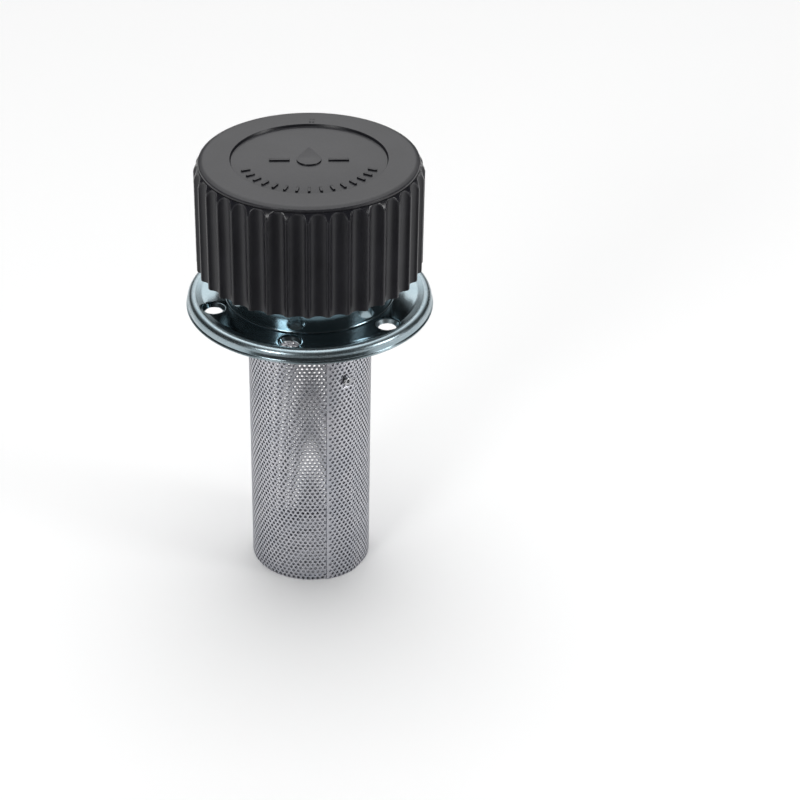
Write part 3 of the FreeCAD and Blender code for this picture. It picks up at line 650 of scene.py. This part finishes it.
# copies of a small piece along an arc, each turned to face outwards
def buildTickTree(sizes):
    tree, entry = geometryTree("tickRow", sizes)
    arc = nodeOut(tree, "GeometryNodeCurveArc",
                  {"Resolution": entry["Count"], "Radius": entry["Radius"], "Start Angle": entry["Start"],
                   "Sweep Angle": entry["Sweep"]}, mode="RADIUS")
    spots = nodeOut(tree, "GeometryNodeCurveToPoints", {"Curve": arc}, mode="EVALUATED")
    parts = splitXYZ(tree, nodeOut(tree, "GeometryNodeInputPosition"))
    spin = joinXYZ(tree, z=calc(tree, "ARCTAN2", parts[1], parts[0]))
    rows = nodeOut(tree, "GeometryNodeInstanceOnPoints",
                   {"Points": spots, "Instance": entry["Geometry"], "Rotation": spin})
    endTree(tree, entry, rows)
    return tree


def buildCap():
    coat, shape = finish["capPlastic"], reliefShape
    columns = fluteAngles(fluteSizes["Flute Count"], fluteSizes["First Turn"])
    base = meshFrom("capBase", *turnOutline(capOutline(capShape), columns, steps=4, least=5.0))
    shell = growMesh("capWall", base, buildFluteTree(), fluteSizes, coat)

    low, high = shape["level"] - shape["sunk"], shape["level"] + shape["rise"]
    tickLong, tickWide = shape["tickLong"] / 2, shape["tickWide"] / 2
    tick = boxMesh("tick", (-tickLong, -tickWide, low), (tickLong, tickWide, high), bevel=shape["bevel"])
    tickSizes = {"Count": shape["tickCount"], "Radius": (shape["tickRadius"] - tickLong) * mm,
                 "Start": math.radians(shape["tickStart"]),
                 "Sweep": math.radians(shape["tickPitch"] * (shape["tickCount"] - 1))}
    ticks = growMesh("ticks", tick, buildTickTree(tickSizes), tickSizes, coat)
    bars = [boxMesh("bar", (side * shape["barInner"], -shape["barWide"] / 2, low),
                    (side * shape["barOuter"], shape["barWide"] / 2, high), bevel=shape["bevel"])
            for side in (-1, 1)]
    low, high = capShape["top"] - shape["indexSunk"], capShape["top"] + shape["indexRise"]
    marks = [boxMesh("index", (shape["indexInner"], -shape["indexWide"] / 2, low),
                     (shape["indexOuter"], shape["indexWide"] / 2, high), math.radians(turn), bevel=0.05)
             for turn in shape["indexTurns"]]

    shape = ribShape
    roofUnder = capShape["top"] - capShape["recessDepth"] - capShape["roof"]
    rib = boxMesh("rib", (-shape["half"], -shape["thick"] / 2, roofUnder - shape["drop"]),
                  (shape["half"], shape["thick"] / 2, roofUnder + shape["sunk"]))
    ribSizes = {"Count": shape["count"] + 1, "Radius": (shape["inner"] + shape["half"]) * mm,
                "Start": math.radians(shape["turn"]), "Sweep": 2 * math.pi}
    ribs = growMesh("ribs", rib, buildTickTree(ribSizes), ribSizes, coat)

    mesh = joinMeshes("capShell", [shell, ticks, ribs, dropMesh(reliefShape)] + marks + bars)
    placePiece("capShell", mesh, "cap", finish["capPlastic"], ["cap_cover"], sharp=40.0)


buildCap()
print("cap built")


# flange: drawn sheet with rolled rim and neck, holes and notches cut by a tree
flangeCorners = [
    (24.6, 14.5, 0.25), (27.7, 14.5, 0.3), (27.7, 0.0, 2.1), (37.6, 0.0, 2.0), (40.0, 0.8, 1.2),
    (41.2, 0.8, 0.9), (41.2, -1.5, 0.8), (41.75, -2.3, 0.3), (43.2, -2.3, 0.12), (43.15, -2.0, 0.12),
    (42.7, -1.4, 0.5), (42.7, 2.3, 2.35), (40.0, 2.3, 1.6), (37.6, 1.5, 3.0), (29.2, 1.5, 0.6),
    (29.2, 16.0, 1.8), (24.6, 16.0, 0.25),
]
holeCorners = [
    (0, -4), (3.0, -4), (3.0, 0.2), (3.8, 1.28), (4.1, 1.45), (4.45, 1.515), (5.1, 2.4), (5.1, 6), (0, 6),
]
flangeSizes = {
    "Hole Count": 6, "Hole Circle": 35.0 * mm, "Notch Reach": 26.8 * mm, "Notch Width": 16.0 * mm,
    "Notch Depth": 6.0 * mm, "Notch Height": 16.0 * mm, "Turn": math.radians(18.9),
}
tabShape = {"side": 1.2, "width": 3.0, "inner": 24.6, "thick": 1.5, "low": 11.5, "high": 15.2, "bevel": 0.3}


def buildFlangeTree(cutter):
    tree, entry = geometryTree("punchFlange", flangeSizes)
    spots = nodeOut(tree, "GeometryNodeMeshCircle",
                    {"Vertices": entry["Hole Count"], "Radius": entry["Hole Circle"]})
    drill = addNode(tree, "GeometryNodeObjectInfo", {"Object": cutter}).outputs["Geometry"]
    holes = nodeOut(tree, "GeometryNodeInstanceOnPoints", {"Points": spots, "Instance": drill})
    # one bar across the neck cuts both notches
    barSize = joinXYZ(tree, times(tree, entry["Notch Reach"], 2.0), entry["Notch Width"],
                      entry["Notch Depth"])
    bar = nodeOut(tree, "GeometryNodeMeshCube", {"Size": barSize})
    lift = joinXYZ(tree, z=entry["Notch Height"])
    bar = nodeOut(tree, "GeometryNodeTransform", {"Geometry": bar, "Translation": lift})
    cutters = joinParts(tree, holes, bar)
    spin = joinXYZ(tree, z=entry["Turn"])
    turned = nodeOut(tree, "GeometryNodeTransform", {"Geometry": cutters, "Rotation": spin})
    ready = nodeOut(tree, "GeometryNodeRealizeInstances", {"Geometry": turned})
    cut = nodeOut(tree, "GeometryNodeMeshBoolean", {"Mesh 1": entry["Geometry"], "Mesh 2": ready},
                  operation="DIFFERENCE", solver="EXACT")
    endTree(tree, entry, cut)
    return tree


def buildFlange():
    drill = addObject("drill", lathe("drill", holeCorners, columns=72))
    base = lathe("flangeBase", flangeCorners, columns=288, steps=7)
    cut = growMesh("flangeCut", base, buildFlangeTree(drill), flangeSizes, finish["zincPlate"])
    bpy.data.objects.remove(drill)
    shape = tabShape
    low = (shape["side"], shape["inner"], shape["low"])
    high = (shape["side"] + shape["width"], shape["inner"] + shape["thick"], shape["high"])
    tabs = [boxMesh("stopTab", low, high, flangeSizes["Turn"] + math.pi * half, shape["bevel"])
            for half in (0, 1)]
    mesh = joinMeshes("flangePlate", [cut] + tabs)
    placePiece("flangePlate", mesh, "flange", finish["zincPlate"], ["flange_plate"], sharp=32.0)


buildFlange()
print("flange built")


# strainer: perforated sheet, punched flat and then rolled up with a lap seam
sheetShape = {
    "span": 387.0, "bottom": -108.1, "top": -3.0, "rivetTurn": 305.6, "rivetHeight": -24.3,
    "floorRim": 19.8, "rimSteps": 96, "columns": 180,
    "band": [(21.3, -3.05), (21.8, -3.05), (21.8, 3.1, 0.4), (23.3, 3.1, 0.1), (23.3, 3.6, 0.1),
             (21.3, 3.6, 0.9)],
    "floorEdge": [(19.7, -108.1), (21.25, -108.1, 1.0), (21.25, -105.1, 0.15), (20.75, -105.1, 0.15),
                  (20.75, -107.6, 0.5), (19.7, -107.6)],
}
sheetSizes = {
    "Columns": 81, "Rows": 8, "Blocks": 9, "Pitch": 1.77 * mm, "Row Pitch": 1.45 * mm,
    "Hole Radius": 0.66 * mm, "Hole Sides": 6, "Hole Slim": 0.92, "Margin": 0.05 * mm, "Reach": 1.0,
    "Side Shift": -0.3 * mm, "Thickness": 0.5 * mm, "Border Steps": 97,
    "Sheet Width": 0.0, "Sheet Height": 0.0, "Sheet Bottom": sheetShape["bottom"] * mm,
    "Roll Radius": 21.3 * mm, "Start Turn": math.radians(285.0),
    "Lap Rise": 0.52 * mm, "Lap Span": math.radians(27.0), "Lap Blend": math.radians(12.0),
    "Rivet Turn": math.radians(sheetShape["rivetTurn"]), "Rivet Height": sheetShape["rivetHeight"] * mm,
    "Dimple Depth": 0.6 * mm, "Dimple Radius": 2.1 * mm,
}
sheetMiddle = sheetSizes["Roll Radius"] + sheetSizes["Thickness"] / 2
sheetSizes["Sheet Width"] = sheetMiddle * math.radians(sheetShape["span"])
sheetSizes["Sheet Height"] = (sheetShape["top"] - sheetShape["bottom"]) * mm
floorSizes = {
    "Columns": 25, "Rows": 29, "Pitch": 1.77 * mm, "Row Pitch": 1.45 * mm,
    "Hole Radius": 0.66 * mm, "Hole Sides": 6, "Hole Slim": 0.92, "Margin": 0.1 * mm, "Reach": 19.0 * mm,
    "Side Shift": 0.0, "Thickness": 0.5 * mm,
}


# staggered slim holes inside the outline that comes in, as a flat face
def addPunching(tree, entry):
    wide = times(tree, minus(tree, entry["Columns"], 1.0), entry["Pitch"])
    high = times(tree, minus(tree, entry["Rows"], 1.0), entry["Row Pitch"])
    lattice = nodeOut(tree, "GeometryNodeMeshGrid",
                      {"Size X": wide, "Size Y": high, "Vertices X": entry["Columns"],
                       "Vertices Y": entry["Rows"]})
    place = nodeOut(tree, "GeometryNodeInputPosition")
    parts = splitXYZ(tree, place)
    fromLow = plus(tree, parts[1], times(tree, high, 0.5))
    row = calc(tree, "ROUND", calc(tree, "DIVIDE", fromLow, entry["Row Pitch"]))
    odd = minus(tree, calc(tree, "MODULO", row, 2.0), 0.5)
    aside = plus(tree, times(tree, odd, times(tree, entry["Pitch"], 0.5)), entry["Side Shift"])
    staggered = nodeOut(tree, "GeometryNodeSetPosition",
                        {"Geometry": lattice, "Offset": joinXYZ(tree, aside)})
    near = addNode(tree, "GeometryNodeProximity", {0: entry["Geometry"]},
                   target_element="EDGES").outputs["Distance"]
    tooNear = calc(tree, "LESS_THAN", near, plus(tree, entry["Margin"], entry["Hole Radius"]))
    far = addNode(tree, "ShaderNodeVectorMath", {0: place}, operation="LENGTH").outputs["Value"]
    drop = plus(tree, tooNear, calc(tree, "GREATER_THAN", far, entry["Reach"]))
    kept = nodeOut(tree, "GeometryNodeDeleteGeometry", {"Geometry": staggered, "Selection": drop},
                   domain="POINT")
    spots = nodeOut(tree, "GeometryNodeMeshToPoints", {"Mesh": kept})
    hole = nodeOut(tree, "GeometryNodeCurvePrimitiveCircle",
                   {"Resolution": entry["Hole Sides"], "Radius": entry["Hole Radius"]})
    slim = joinXYZ(tree, entry["Hole Slim"], 1.0, 1.0)
    hole = nodeOut(tree, "GeometryNodeTransform", {"Geometry": hole, "Rotation": (0, 0, math.radians(90))})
    hole = nodeOut(tree, "GeometryNodeTransform", {"Geometry": hole, "Scale": slim})
    holes = nodeOut(tree, "GeometryNodeInstanceOnPoints", {"Points": spots, "Instance": hole})
    holes = nodeOut(tree, "GeometryNodeRealizeInstances", {"Geometry": holes})
    border = nodeOut(tree, "GeometryNodeMeshToCurve", {"Mesh": entry["Geometry"]})
    return nodeOut(tree, "GeometryNodeFillCurve", {"Curve": joinParts(tree, holes, border)})


# a flat face becomes a closed plate of the sheet's thickness
def addThickness(tree, entry, flat):
    thick = nodeOut(tree, "GeometryNodeExtrudeMesh",
                    {"Mesh": flat, "Offset Scale": entry["Thickness"], "Individual": False})
    under = nodeOut(tree, "GeometryNodeFlipFaces", {"Mesh": flat})
    return nodeOut(tree, "GeometryNodeMergeByDistance",
                   {"Geometry": joinParts(tree, thick, under), "Distance": 0.005 * mm})


# the punched block is laid again and again up the sheet, and a plain strip fills the top
def addBlocks(tree, entry, block):
    blockHigh = times(tree, entry["Rows"], entry["Row Pitch"])
    step = joinXYZ(tree, y=blockHigh)
    start = joinXYZ(tree, y=times(tree, blockHigh, 0.5))
    line = nodeOut(tree, "GeometryNodeMeshLine",
                   {"Count": entry["Blocks"], "Start Location": start, "Offset": step})
    blocks = nodeOut(tree, "GeometryNodeInstanceOnPoints", {"Points": line, "Instance": block})
    filled = times(tree, blockHigh, entry["Blocks"])
    plain = minus(tree, entry["Sheet Height"], filled)
    strip = nodeOut(tree, "GeometryNodeMeshGrid",
                    {"Size X": entry["Sheet Width"], "Size Y": plain, "Vertices Y": 2,
                     "Vertices X": plus(tree, entry["Border Steps"], 1.0)})
    lift = joinXYZ(tree, y=plus(tree, filled, times(tree, plain, 0.5)))
    strip = nodeOut(tree, "GeometryNodeTransform", {"Geometry": strip, "Translation": lift})
    sheet = joinParts(tree, strip, nodeOut(tree, "GeometryNodeRealizeInstances", {"Geometry": blocks}))
    return nodeOut(tree, "GeometryNodeMergeByDistance", {"Geometry": sheet, "Distance": 0.01 * mm})


def buildSheetTree():
    tree, entry = geometryTree("rollStrainer", sheetSizes)
    plate = addThickness(tree, entry, addBlocks(tree, entry, addPunching(tree, entry)))
    parts = splitXYZ(tree, nodeOut(tree, "GeometryNodeInputPosition"))
    # x runs from the free edge of the outer layer, with its zero in the middle of the sheet
    middle = plus(tree, entry["Roll Radius"], times(tree, entry["Thickness"], 0.5))
    run = plus(tree, parts[0], times(tree, entry["Sheet Width"], 0.5))
    turn = calc(tree, "DIVIDE", run, middle)
    lapEnd = plus(tree, entry["Lap Span"], entry["Lap Blend"])
    lift = fitRange(tree, turn, entry["Lap Span"], lapEnd, 1.0, 0.0, smooth=True)
    radius = plus(tree, plus(tree, entry["Roll Radius"], parts[2]), times(tree, lift, entry["Lap Rise"]))
    angle = plus(tree, turn, entry["Start Turn"])
    # both layers are dished round the rivet
    height = plus(tree, parts[1], entry["Sheet Bottom"])
    around = calc(tree, "WRAP", minus(tree, angle, entry["Rivet Turn"]), math.pi, -math.pi)
    across = times(tree, around, middle)
    up = minus(tree, height, entry["Rivet Height"])
    away = longSide(tree, across, up)
    dimpleEnd = times(tree, entry["Dimple Radius"], 1.7)
    dimple = fitRange(tree, away, entry["Dimple Radius"], dimpleEnd, 1.0, 0.0, smooth=True)
    radius = minus(tree, radius, times(tree, dimple, entry["Dimple Depth"]))
    rolled = joinXYZ(tree, times(tree, radius, calc(tree, "COSINE", angle)),
                     times(tree, radius, calc(tree, "SINE", angle)), height)
    shaped = nodeOut(tree, "GeometryNodeSetPosition", {"Geometry": plate, "Position": rolled})
    endTree(tree, entry, shaped)
    return tree


def outlineMesh(name, points):
    mesh = bpy.data.meshes.new(name)
    edges = [(index, (index + 1) % len(points)) for index in range(len(points))]
    mesh.from_pydata([(x, y, 0) for x, y in points], edges, [])
    return mesh


def rectanglePoints(wide, high, across, up):
    points = [(-wide / 2 + wide * i / across, -high / 2) for i in range(across)]
    points += [(wide / 2, -high / 2 + high * i / up) for i in range(up)]
    points += [(wide / 2 - wide * i / across, high / 2) for i in range(across)]
    points += [(-wide / 2, high / 2 - high * i / up) for i in range(up)]
    return points


def buildStrainer():
    shape = sheetShape
    high = sheetSizes["Rows"] * sheetSizes["Row Pitch"]
    outline = rectanglePoints(sheetSizes["Sheet Width"], high, sheetSizes["Border Steps"], up=8)
    border = outlineMesh("sheetBorder", outline)
    sheet = growMesh("sheetRolled", border, buildSheetTree(), sheetSizes, finish["strainerMetal"])
    print("strainer sheet:", len(sheet.polygons), "faces")
    # plain band above the holes, folded out over the collar
    band = lathe("sheetBand", shape["band"], shape["columns"])
    mesh = joinMeshes("strainerSheet", [sheet, band])
    placePiece("strainerSheet", mesh, "flange", finish["strainerMetal"], ["strainer_wall"], sharp=40.0)

    tree, entry = geometryTree("punchFloor", floorSizes)
    endTree(tree, entry, addThickness(tree, entry, addPunching(tree, entry)))
    rim = [(shape["floorRim"] * mm * math.cos(a), shape["floorRim"] * mm * math.sin(a))
           for a in evenAngles(shape["rimSteps"])]
    plate = growMesh("floorPlate", outlineMesh("floorBorder", rim), tree, floorSizes, finish["strainerMetal"])
    plate.transform(Matrix.Translation((0, 0, shape["bottom"] * mm)))
    edge = lathe("floorEdge", shape["floorEdge"], shape["columns"])
    mesh = joinMeshes("strainerFloor", [plate, edge])
    placePiece("strainerFloor", mesh, "flange", finish["strainerMetal"], ["strainer_bottom"], sharp=40.0)


buildStrainer()
print("strainer built")


# rivet through the lap seam
rivetShape = {
    "turn": sheetShape["rivetTurn"], "height": sheetShape["rivetHeight"],
    "seat": 22.05, "inner": 20.8, "head": 0.8,
}


def buildRivet():
    shape = rivetShape
    long = shape["seat"] - shape["inner"]
    head = shape["head"]
    body = lathe("rivet", [(0, -0.5), (0.9, -0.45, 0.6), (1.7, -0.02, 0.1), (1.05, 0.0), (1.05, long - 0.4),
                           (1.6, long - 0.4, 0.1), (1.66, long + head - 0.3, 0.3), (1.3, long + head, 0.4),
                           (0.6, long + head - 0.05, 0.2), (0.5, long - 0.1, 0.1), (0, long - 0.12)],
                 columns=64, steps=7)
    around = math.radians(shape["turn"])
    turn = Matrix.Rotation(around, 4, "Z") @ Matrix.Rotation(math.radians(90), 4, "Y")
    spot = Vector((shape["inner"] * math.cos(around), shape["inner"] * math.sin(around),
                   shape["height"])) * mm
    body.transform(Matrix.Translation(spot) @ turn)
    placePiece("seamRivet", body, "flange", finish["rivetMetal"], ["seam_rivet"], sharp=50.0)


buildRivet()
print("rivet built")


# round pieces that are seen when the cap is off, as (name, node, body, finish, outline)
turnedPieces = [
    ("strainerCollar", "strainer_collar", "flange", "zincPlate",
     [(21.85, -2.5, 0.2), (22.85, -2.5, 0.2), (22.85, 2.1, 1.2), (27.65, 2.1, 0.9), (27.65, 9.1, 0.2),
      (26.65, 9.1, 0.2), (26.65, 3.1, 0.5), (21.85, 3.1, 0.4)]),
    ("capSeal", "cap_seal", "seal", "blackRubber",
     [(25.4, 16.0, 0.3), (29.0, 16.0, 0.3), (29.0, 18.2, 0.3), (25.4, 18.2, 0.3)]),
    ("splashGuard", "splash_guard", "cap", "zincPlate",
     [(3.2, 17.4, 0.1), (6.6, 17.4, 0.6), (9.4, 14.6, 0.6), (20.5, 14.6, 0.15), (20.5, 15.4, 0.15),
      (9.8, 15.4, 0.9), (7.0, 18.2, 0.9), (3.2, 18.2, 0.1)]),
    ("baseWasher", "base_washer", "cap", "turnedSteel",
     [(3.2, 16.4, 0.1), (6.0, 16.4, 0.2), (6.0, 17.4, 0.2), (3.2, 17.4, 0.1)]),
    ("springWasher", "spring_washer", "cap", "turnedSteel",
     [(3.2, 0.0, 0.1), (6.0, 0.0, 0.2), (6.0, 1.0, 0.2), (3.2, 1.0, 0.1)]),
]


def buildTurnedPieces():
    for name, node, body, coat, corners in turnedPieces:
        placePiece(name, lathe(name, corners, columns=144, steps=4), body, finish[coat], [node])


buildTurnedPieces()
print("turned pieces built")


# coil spring under the bayonet bridge, wound at one length; the real spring shortens when the bridge is
# pressed down
springSizes = {
    "Turns": 4.0, "Steps": 36, "Coil Radius": 5.0 * mm, "Wire Radius": 0.6 * mm, "Wire Sides": 12,
    "Under": 1.7 * mm, "Rise": 7.2 * mm,
}


def buildSpringTree():
    tree, entry = geometryTree("windSpring", springSizes)
    coil = nodeOut(tree, "GeometryNodeCurveSpiral",
                   {"Resolution": entry["Steps"], "Rotations": entry["Turns"], "Height": entry["Rise"],
                    "Start Radius": entry["Coil Radius"], "End Radius": entry["Coil Radius"]})
    lift = joinXYZ(tree, z=entry["Under"])
    coil = nodeOut(tree, "GeometryNodeTransform", {"Geometry": coil, "Translation": lift})
    wire = nodeOut(tree, "GeometryNodeCurvePrimitiveCircle",
                   {"Resolution": entry["Wire Sides"], "Radius": entry["Wire Radius"]})
    wound = nodeOut(tree, "GeometryNodeCurveToMesh",
                    {"Curve": coil, "Profile Curve": wire, "Fill Caps": True})
    endTree(tree, entry, wound)
    return tree


def buildSpring():
    mesh = growMesh("springCoil", bpy.data.meshes.new("springBase"), buildSpringTree(), springSizes,
                    finish["springWire"])
    spring = placePiece("springCoil", mesh, "cap", finish["springWire"], ["bayonet_spring"], sharp=60.0)
    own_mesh(spring)


buildSpring()
print("spring built")


# CAD nodes that stay and get a finish
keptNodes = {
    "centre_stud": "turnedSteel", "top_seal": "blackRubber", "filter_top_disc": "tinPlate",
    "filter_bottom_disc": "tinPlate", "filter_paper": "filterPaper", "filter_core": "tinPlate",
    "bottom_seal": "greyFelt", "base_plate": "zincPlate", "base_nut": "turnedSteel",
    "bayonet_bridge": "zincPlate", "lock_nut": "turnedSteel",
}
for nodeName, coat in keptNodes.items():
    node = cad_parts[nodeName]
    if not node.material_slots:
        node.data.materials.append(None)
    for slot in node.material_slots:
        slot.material = finish[coat]
print("kept nodes dressed:", len(keptNodes))


# studio: pale floor, white background, soft lamps, the photo's camera
studio = {
    "floorLevel": -0.1082, "floorSize": 6.0, "floorColor": (0.98, 0.98, 0.98),
    # the sheet whose near-black colour paints dark reflections in the cap and the zinc
    "reflectionShadeNear": -0.13, "reflectionShadeFar": -0.8, "reflectionShadeHalf": 0.26, "reflectionShadeColor": (0.03, 0.03, 0.03),
    "domeAxis": (0.0, 0.42, 0.91), "domeNarrow": (1.6, 1.0, 1.0), "domeFrom": 0.45, "domeFull": 0.88,
    "domeLight": 1.82, "roomLight": 0.04,
    "lens": 94.5, "sensor": 36.0, "shiftX": 0.1122, "clipNear": 0.01, "clipFar": 20.0,
    "cameraPlace": (0.0, -0.64071, 0.36197), "cameraPitch": 57.67, "cameraRoll": -0.29,
}
lamps = {
    "topSoft": dict(place=(-0.1, 0.3, 1.5), aim=(0, 0, 0.0), size=1.8, power=6.0),
    "leftSoft": dict(place=(-0.56, -0.84, 0.41), aim=(0, 0, 0.05), size=0.3, power=2.8),
    "rightSoft": dict(place=(0.98, -0.38, 0.31), aim=(0, 0, 0.05), size=0.3, power=2.8),
}


def paleMaterial(name, color):
    material = bpy.data.materials.new(name)
    material.use_nodes = True
    tree = material.node_tree
    shader = tree.nodes["Principled BSDF"]
    tint = noiseField(tree, objectSpot(tree), 3.0)
    paler = tuple(min(0.98, c * 1.03) for c in color)
    feed(tree, shader.inputs["Base Color"], blendColor(tree, tint, color, paler))
    shader.inputs["Roughness"].default_value = 0.9
    return material


def layFlat(name, half, near, far, level, material):
    sheet = addObject(name, bpy.data.meshes.new(name))
    corners = [(-half, near, level), (half, near, level), (half, far, level), (-half, far, level)]
    sheet.data.from_pydata(corners, [], [(0, 1, 2, 3)])
    sheet.data.materials.append(material)
    return sheet


def buildStudio():
    level, size = studio["floorLevel"], studio["floorSize"]
    floor = layFlat("studioFloor", size, -size, size, level, paleMaterial("floorPaper", studio["floorColor"]))

    # a near-black sheet on the floor in front of the picture, seen only by glossy rays: a painted dark
    # reflection in the cap and the zinc, which casts no shadow and lights nothing
    reflectionShade = layFlat("darkCloth", studio["reflectionShadeHalf"], studio["reflectionShadeFar"], studio["reflectionShadeNear"], level + mm,
                    paleMaterial("paintedDarkReflection", studio["reflectionShadeColor"]))
    reflectionShade.visible_camera = reflectionShade.visible_diffuse = reflectionShade.visible_shadow = False

    for name, lamp in lamps.items():
        data = bpy.data.lights.new(name, "AREA")
        data.shape, data.size, data.energy = "SQUARE", lamp["size"], lamp["power"]
        light = addObject(name, data)
        light.location = lamp["place"]
        way = Vector(lamp["aim"]) - Vector(lamp["place"])
        light.rotation_euler = way.to_track_quat("-Z", "Y").to_euler()

    world = bpy.data.worlds.new("studioWorld")
    bpy.context.scene.world = world
    world.use_nodes = True
    # a soft dome of light, tilted to the back and narrow from side to side
    tree = world.node_tree
    back = tree.nodes["Background"]
    way = addNode(tree, "ShaderNodeTexCoord").outputs["Generated"]
    wide = nodeOut(tree, "ShaderNodeVectorMath", {0: way, 1: studio["domeNarrow"]}, operation="MULTIPLY")
    wide = nodeOut(tree, "ShaderNodeVectorMath", {0: wide}, operation="NORMALIZE")
    toDome = addNode(tree, "ShaderNodeVectorMath", {0: wide, 1: studio["domeAxis"]},
                     operation="DOT_PRODUCT").outputs["Value"]
    feed(tree, back.inputs["Color"], (1, 1, 1, 1))
    dome = fitRange(tree, toDome, studio["domeFrom"], studio["domeFull"], studio["roomLight"],
                    studio["domeLight"], smooth=True)
    # plain white where the camera looks past the floor
    seen = addNode(tree, "ShaderNodeLightPath").outputs["Is Camera Ray"]
    feed(tree, back.inputs["Strength"], fitRange(tree, seen, 0.0, 1.0, dome, 1.0))

    data = bpy.data.cameras.new("photoCamera")
    data.lens, data.sensor_width, data.shift_x = studio["lens"], studio["sensor"], studio["shiftX"]
    data.clip_start, data.clip_end = studio["clipNear"], studio["clipFar"]
    camera = addObject("photoCamera", data)
    pitch = Matrix.Rotation(math.radians(studio["cameraPitch"]), 4, "X")
    roll = Matrix.Rotation(math.radians(studio["cameraRoll"]), 4, "Z")
    camera.rotation_euler = (pitch @ roll).to_euler()
    camera.location = studio["cameraPlace"]
    bpy.context.scene.camera = camera
    bpy.context.scene.view_settings.view_transform = "Standard"


buildStudio()
print("studio ready")
